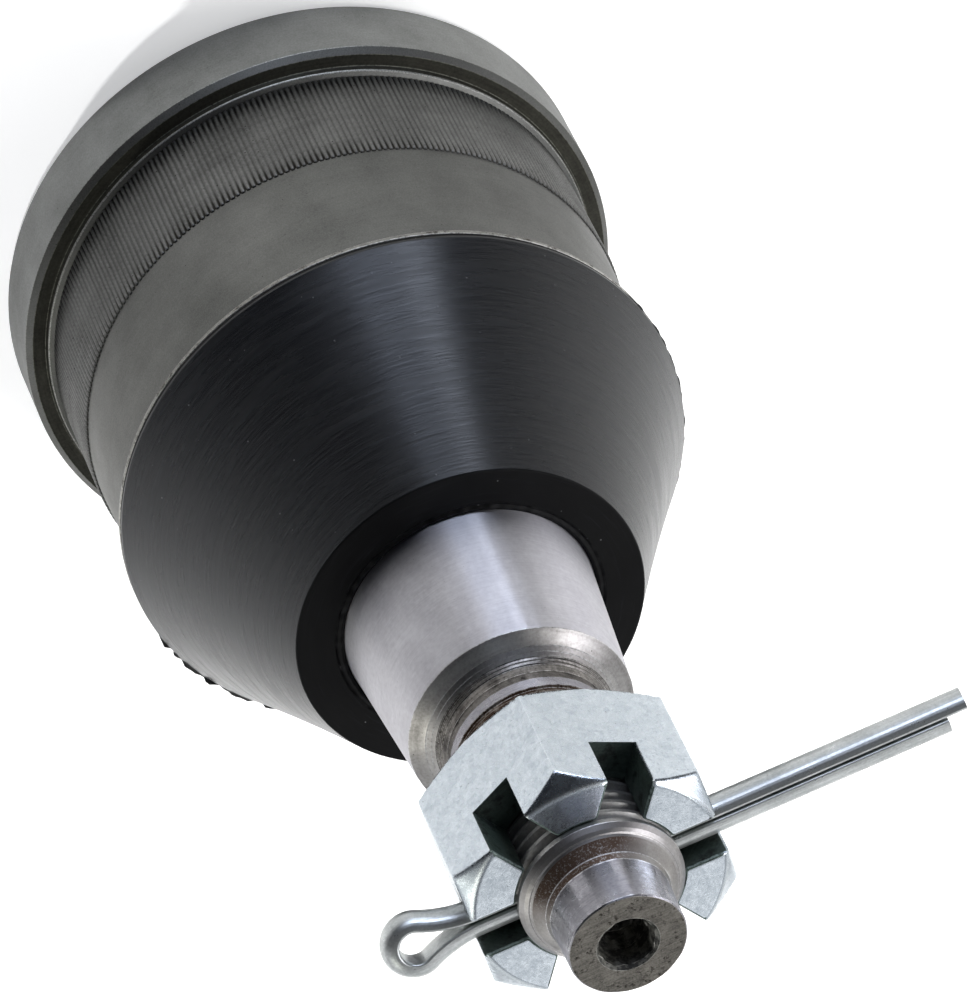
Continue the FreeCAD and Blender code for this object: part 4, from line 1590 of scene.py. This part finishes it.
    def build(self) -> None:
        """Build and dress the nut."""
        points, faces, finish, edges = self.body()
        tooth_points, tooth_faces, tooth_finish, tooth_edges = self.tooth()
        points, edges = [points], [edges]
        for number in range(6):
            start = sum(map(len, points))
            turn = math.radians(60 * number + 30)
            cos, sin = math.cos(turn), math.sin(turn)
            points.append(tooth_points @ np.array([[cos, -sin, 0], [sin, cos, 0], [0, 0, 1]]).T)
            edges.append(tooth_edges)
            faces += [tuple(start + index for index in face) for face in tooth_faces]
            finish += tooth_finish
        piece = make_mesh("castle_nut_plated", np.concatenate(points), faces, (ZINC, SHADED_SLOT), finish,
                          np.concatenate(edges))
        piece.data.set_sharp_from_angle(angle=math.radians(40))
        dress(piece, Body.STUD, ("castle_nut",))


@dataclass
class CotterPin:
    """The split pin: one half-round wire that runs out, round the eye and back."""

    diameter: float = 3.5
    gap: float = 0.2
    edge_radius: float = 0.22
    short_leg: float = 35.0
    long_leg: float = 37.0
    neck: float = 11.2
    eye: float = 17.5
    eye_radius: float = 1.5
    roll: float = 23.0
    height: float = 78.7

    def path(self) -> Array:
        """Give the points of the wire's flat side, from the tip of one leg round the eye to the other tip.

        Returns:
            One row of x, y and z for each point.
        """
        flat = self.gap / 2
        way = self.eye - self.neck
        spread_radius = (way ** 2 + flat ** 2 - self.eye_radius ** 2) / (2 * (self.eye_radius - flat))
        spread = math.atan2(way, flat + spread_radius)
        legs = [(x, flat) for x in np.linspace(-self.short_leg, self.neck, 24)]
        neck = [(self.neck + spread_radius * math.sin(a), flat + spread_radius * (1 - math.cos(a)))
                for a in np.linspace(0, spread, 12)[1:]]
        start = math.pi / 2 + spread
        eye = [(self.eye + self.eye_radius * math.cos(a), self.eye_radius * math.sin(a))
               for a in np.linspace(start, -start, 40)[1:-1]]
        back_neck = [(x, -y) for x, y in reversed(neck)]
        back_leg = [(x, -flat) for x in np.linspace(self.neck, -self.long_leg, 24)]
        return np.array([(x, y, 0.0) for x, y in legs + neck + eye + back_neck + back_leg])

    def build(self) -> None:
        """Build and dress the pin."""
        path = self.path()
        piece = make_mesh("cotter_pin_wire", path, [], lines=[(i, i + 1) for i in range(len(path) - 1)])
        run_nodes(piece, wire_tree(), {
            "Wire Radius": (self.diameter - self.gap) / 2 * MM, "Edge Radius": self.edge_radius * MM,
            "Finish": WIRE.material()})
        lift = Matrix.Translation((0, 0, self.height * MM))
        piece.data.transform(lift @ Matrix.Rotation(math.radians(self.roll), 4, "X"))
        piece.data.set_sharp_from_angle(angle=math.radians(50))
        dress(piece, Body.PIN, ("cotter_pin",))


@dataclass
class HiddenPieces:
    """The CAD nodes whose shape is right: bearings, spring, cover plate and neck ring."""

    def build(self) -> None:
        """Give each node its finish."""
        finishes = {"cover_plate": PHOSPHATED, "preload_spring": SPRING, "lower_bearing": ACETAL,
                    "upper_bearing": ACETAL, "boot_neck_ring": ACETAL}
        for name, finish in finishes.items():
            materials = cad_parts[name].data.materials
            materials.clear()
            materials.append(finish.material())
            LOG.info("%s: keeps its CAD shape, finish %s", name, finish.name)


# ---------------------------------------------------------------- studio


@dataclass(frozen=True)
class Lamp:
    """A soft box: where it stands round the part, its size, power and colour, and what it does.

    Metal mirrors it where mirrored is set, and it lights matt surfaces where lighting is set.
    """

    name: str
    azimuth: float
    elevation: float
    distance: float
    width: float
    height: float
    power: float
    colour: str
    mirrored: bool
    lighting: bool = True

    # The point that all lamps face, in metres.
    AIM = (0.0, 0.0, 0.03)

    def build(self) -> None:
        """Set up the lamp."""
        data = bpy.data.lights.new(self.name, "AREA")
        data.shape = "RECTANGLE"
        data.size, data.size_y = self.width, self.height
        data.energy = self.power
        data.color = linear(self.colour)[:3]
        box = bpy.data.objects.new(self.name, data)
        azimuth, elevation = math.radians(self.azimuth), math.radians(self.elevation)
        flat = math.cos(elevation)
        towards = Vector((math.cos(azimuth) * flat, math.sin(azimuth) * flat, math.sin(elevation)))
        box.location = Vector(self.AIM) + towards * self.distance
        box.rotation_mode = "QUATERNION"
        box.rotation_quaternion = towards.to_track_quat("Z", "Y")
        box.visible_camera = False
        box.visible_glossy = self.mirrored
        box.visible_diffuse = self.lighting
        bpy.context.scene.collection.objects.link(box)


@dataclass
class Studio:
    """Floor, soft boxes, surroundings and the camera at the photograph's angle."""

    focal_length: float = 270.0
    camera_place: tuple[float, float, float] = (0.0252682, -0.4626787, 0.5767825)
    camera_right: tuple[float, float, float] = (-0.9176125, 0.2770663, 0.2849939)
    camera_up: tuple[float, float, float] = (-0.3950576, -0.7147183, -0.5771544)
    floor_half: float = 4000.0
    lamps: tuple[Lamp, ...] = (
        Lamp("overhead_box", 160.0, 62.0, 0.9, 0.50, 0.30, 1.8, "#ffffff", True),
        Lamp("back_left_spot", 36.0, 45.0, 0.8, 0.04, 0.04, 3.8, "#ffffff", False),
        Lamp("back_right_box", 135.0, 42.0, 0.8, 0.55, 0.14, 4.8, "#fffefa", False),
        Lamp("front_strip", -122.0, 8.0, 0.7, 0.12, 0.20, 0.68, "#e2ecff", True),
        Lamp("front_card", -108.0, 11.0, 0.75, 0.26, 0.22, 1.08, "#dce8ff", True, False),
        Lamp("edge_card", -92.0, 16.0, 0.8, 0.22, 0.20, 0.42, "#e8eeff", True, False),
        Lamp("right_card", 176.0, 42.0, 0.8, 0.36, 0.30, 1.5, "#f8f8ff", True, False),
        Lamp("left_card", 24.0, 40.0, 0.8, 0.30, 0.34, 0.6, "#fffff4", True, False),
        Lamp("back_card", 93.0, 44.0, 0.8, 0.30, 0.24, 0.24, "#ffffff", True, False),
    )

    # The room's colours ahead of the object and behind it, low and high, and where each pair changes over.
    LOW_ROOM, HIGH_ROOM = ("#11151d", "#eceef0"), ("#17181b", "#85878b")
    AHEAD, RISE = (-0.42, 0.32), (0.15, 0.75)

    def camera(self) -> None:
        """Set up the camera."""
        data = bpy.data.cameras.new("photo_camera")
        data.lens = self.focal_length
        data.sensor_width = 36.0
        data.clip_start = 0.01
        camera = bpy.data.objects.new("photo_camera", data)
        right, up = Vector(self.camera_right), Vector(self.camera_up)
        turn = Matrix((right, up, right.cross(up))).transposed().to_4x4()
        camera.matrix_world = Matrix.Translation(self.camera_place) @ turn
        bpy.context.scene.collection.objects.link(camera)
        bpy.context.scene.camera = camera

    def surroundings(self) -> None:
        """Make the room: pale near the horizon and darker overhead, and white behind the object."""
        world = bpy.data.worlds.new("pale_room")
        bpy.context.scene.world = world
        world.use_nodes = True
        tree = world.node_tree
        tree.nodes.clear()
        add = partial(add_node, tree)
        parts = add("SeparateXYZ", {}, {0: add("TexCoord").outputs["Generated"]}).outputs
        ahead, height = (add("MapRange", SOFT, {0: part, 1: start, 2: end, 3: 0.0, 4: 1.0})
                         for part, (start, end) in ((parts[1], self.AHEAD), (parts[2], self.RISE)))
        low, high = (add("Mix", COLOURS, {0: ahead, 6: linear(dark), 7: linear(pale)})
                     for dark, pale in (self.LOW_ROOM, self.HIGH_ROOM))
        tone = add("Mix", COLOURS, {0: height, 6: low, 7: high})
        seen = add("Mix", COLOURS, {0: add("LightPath").outputs["Is Camera Ray"], 6: tone, 7: WHITE})
        add("OutputWorld", {}, {0: add("Background", {}, {0: seen, 1: 1.0})})

    def floor(self) -> None:
        """Lay the pale floor."""
        half, level = self.floor_half, FLOOR_Z / MM
        corners = [(x, y, level) for x, y in ((-half, -half), (half, -half), (half, half), (-half, half))]
        make_mesh("paper_floor", np.array(corners), [(0, 1, 2, 3)], (Paper(),))

    def build(self) -> None:
        """Set up everything round the object."""
        self.camera()
        for lamp in self.lamps:
            lamp.build()
        self.surroundings()
        self.floor()
        bpy.context.scene.view_settings.view_transform = "Standard"


def main() -> None:
    """Build the joint's sub-assemblies in order, then the studio."""
    logging.basicConfig(level=logging.INFO, format="%(name)s: %(message)s")
    for maker in (Housing(), Stud(), Boot(), CastleNut(), CotterPin(), HiddenPieces(), Studio()):
        maker.build()
        LOG.info("%s is done", type(maker).__name__)


if __name__ == "__main__":
    main()
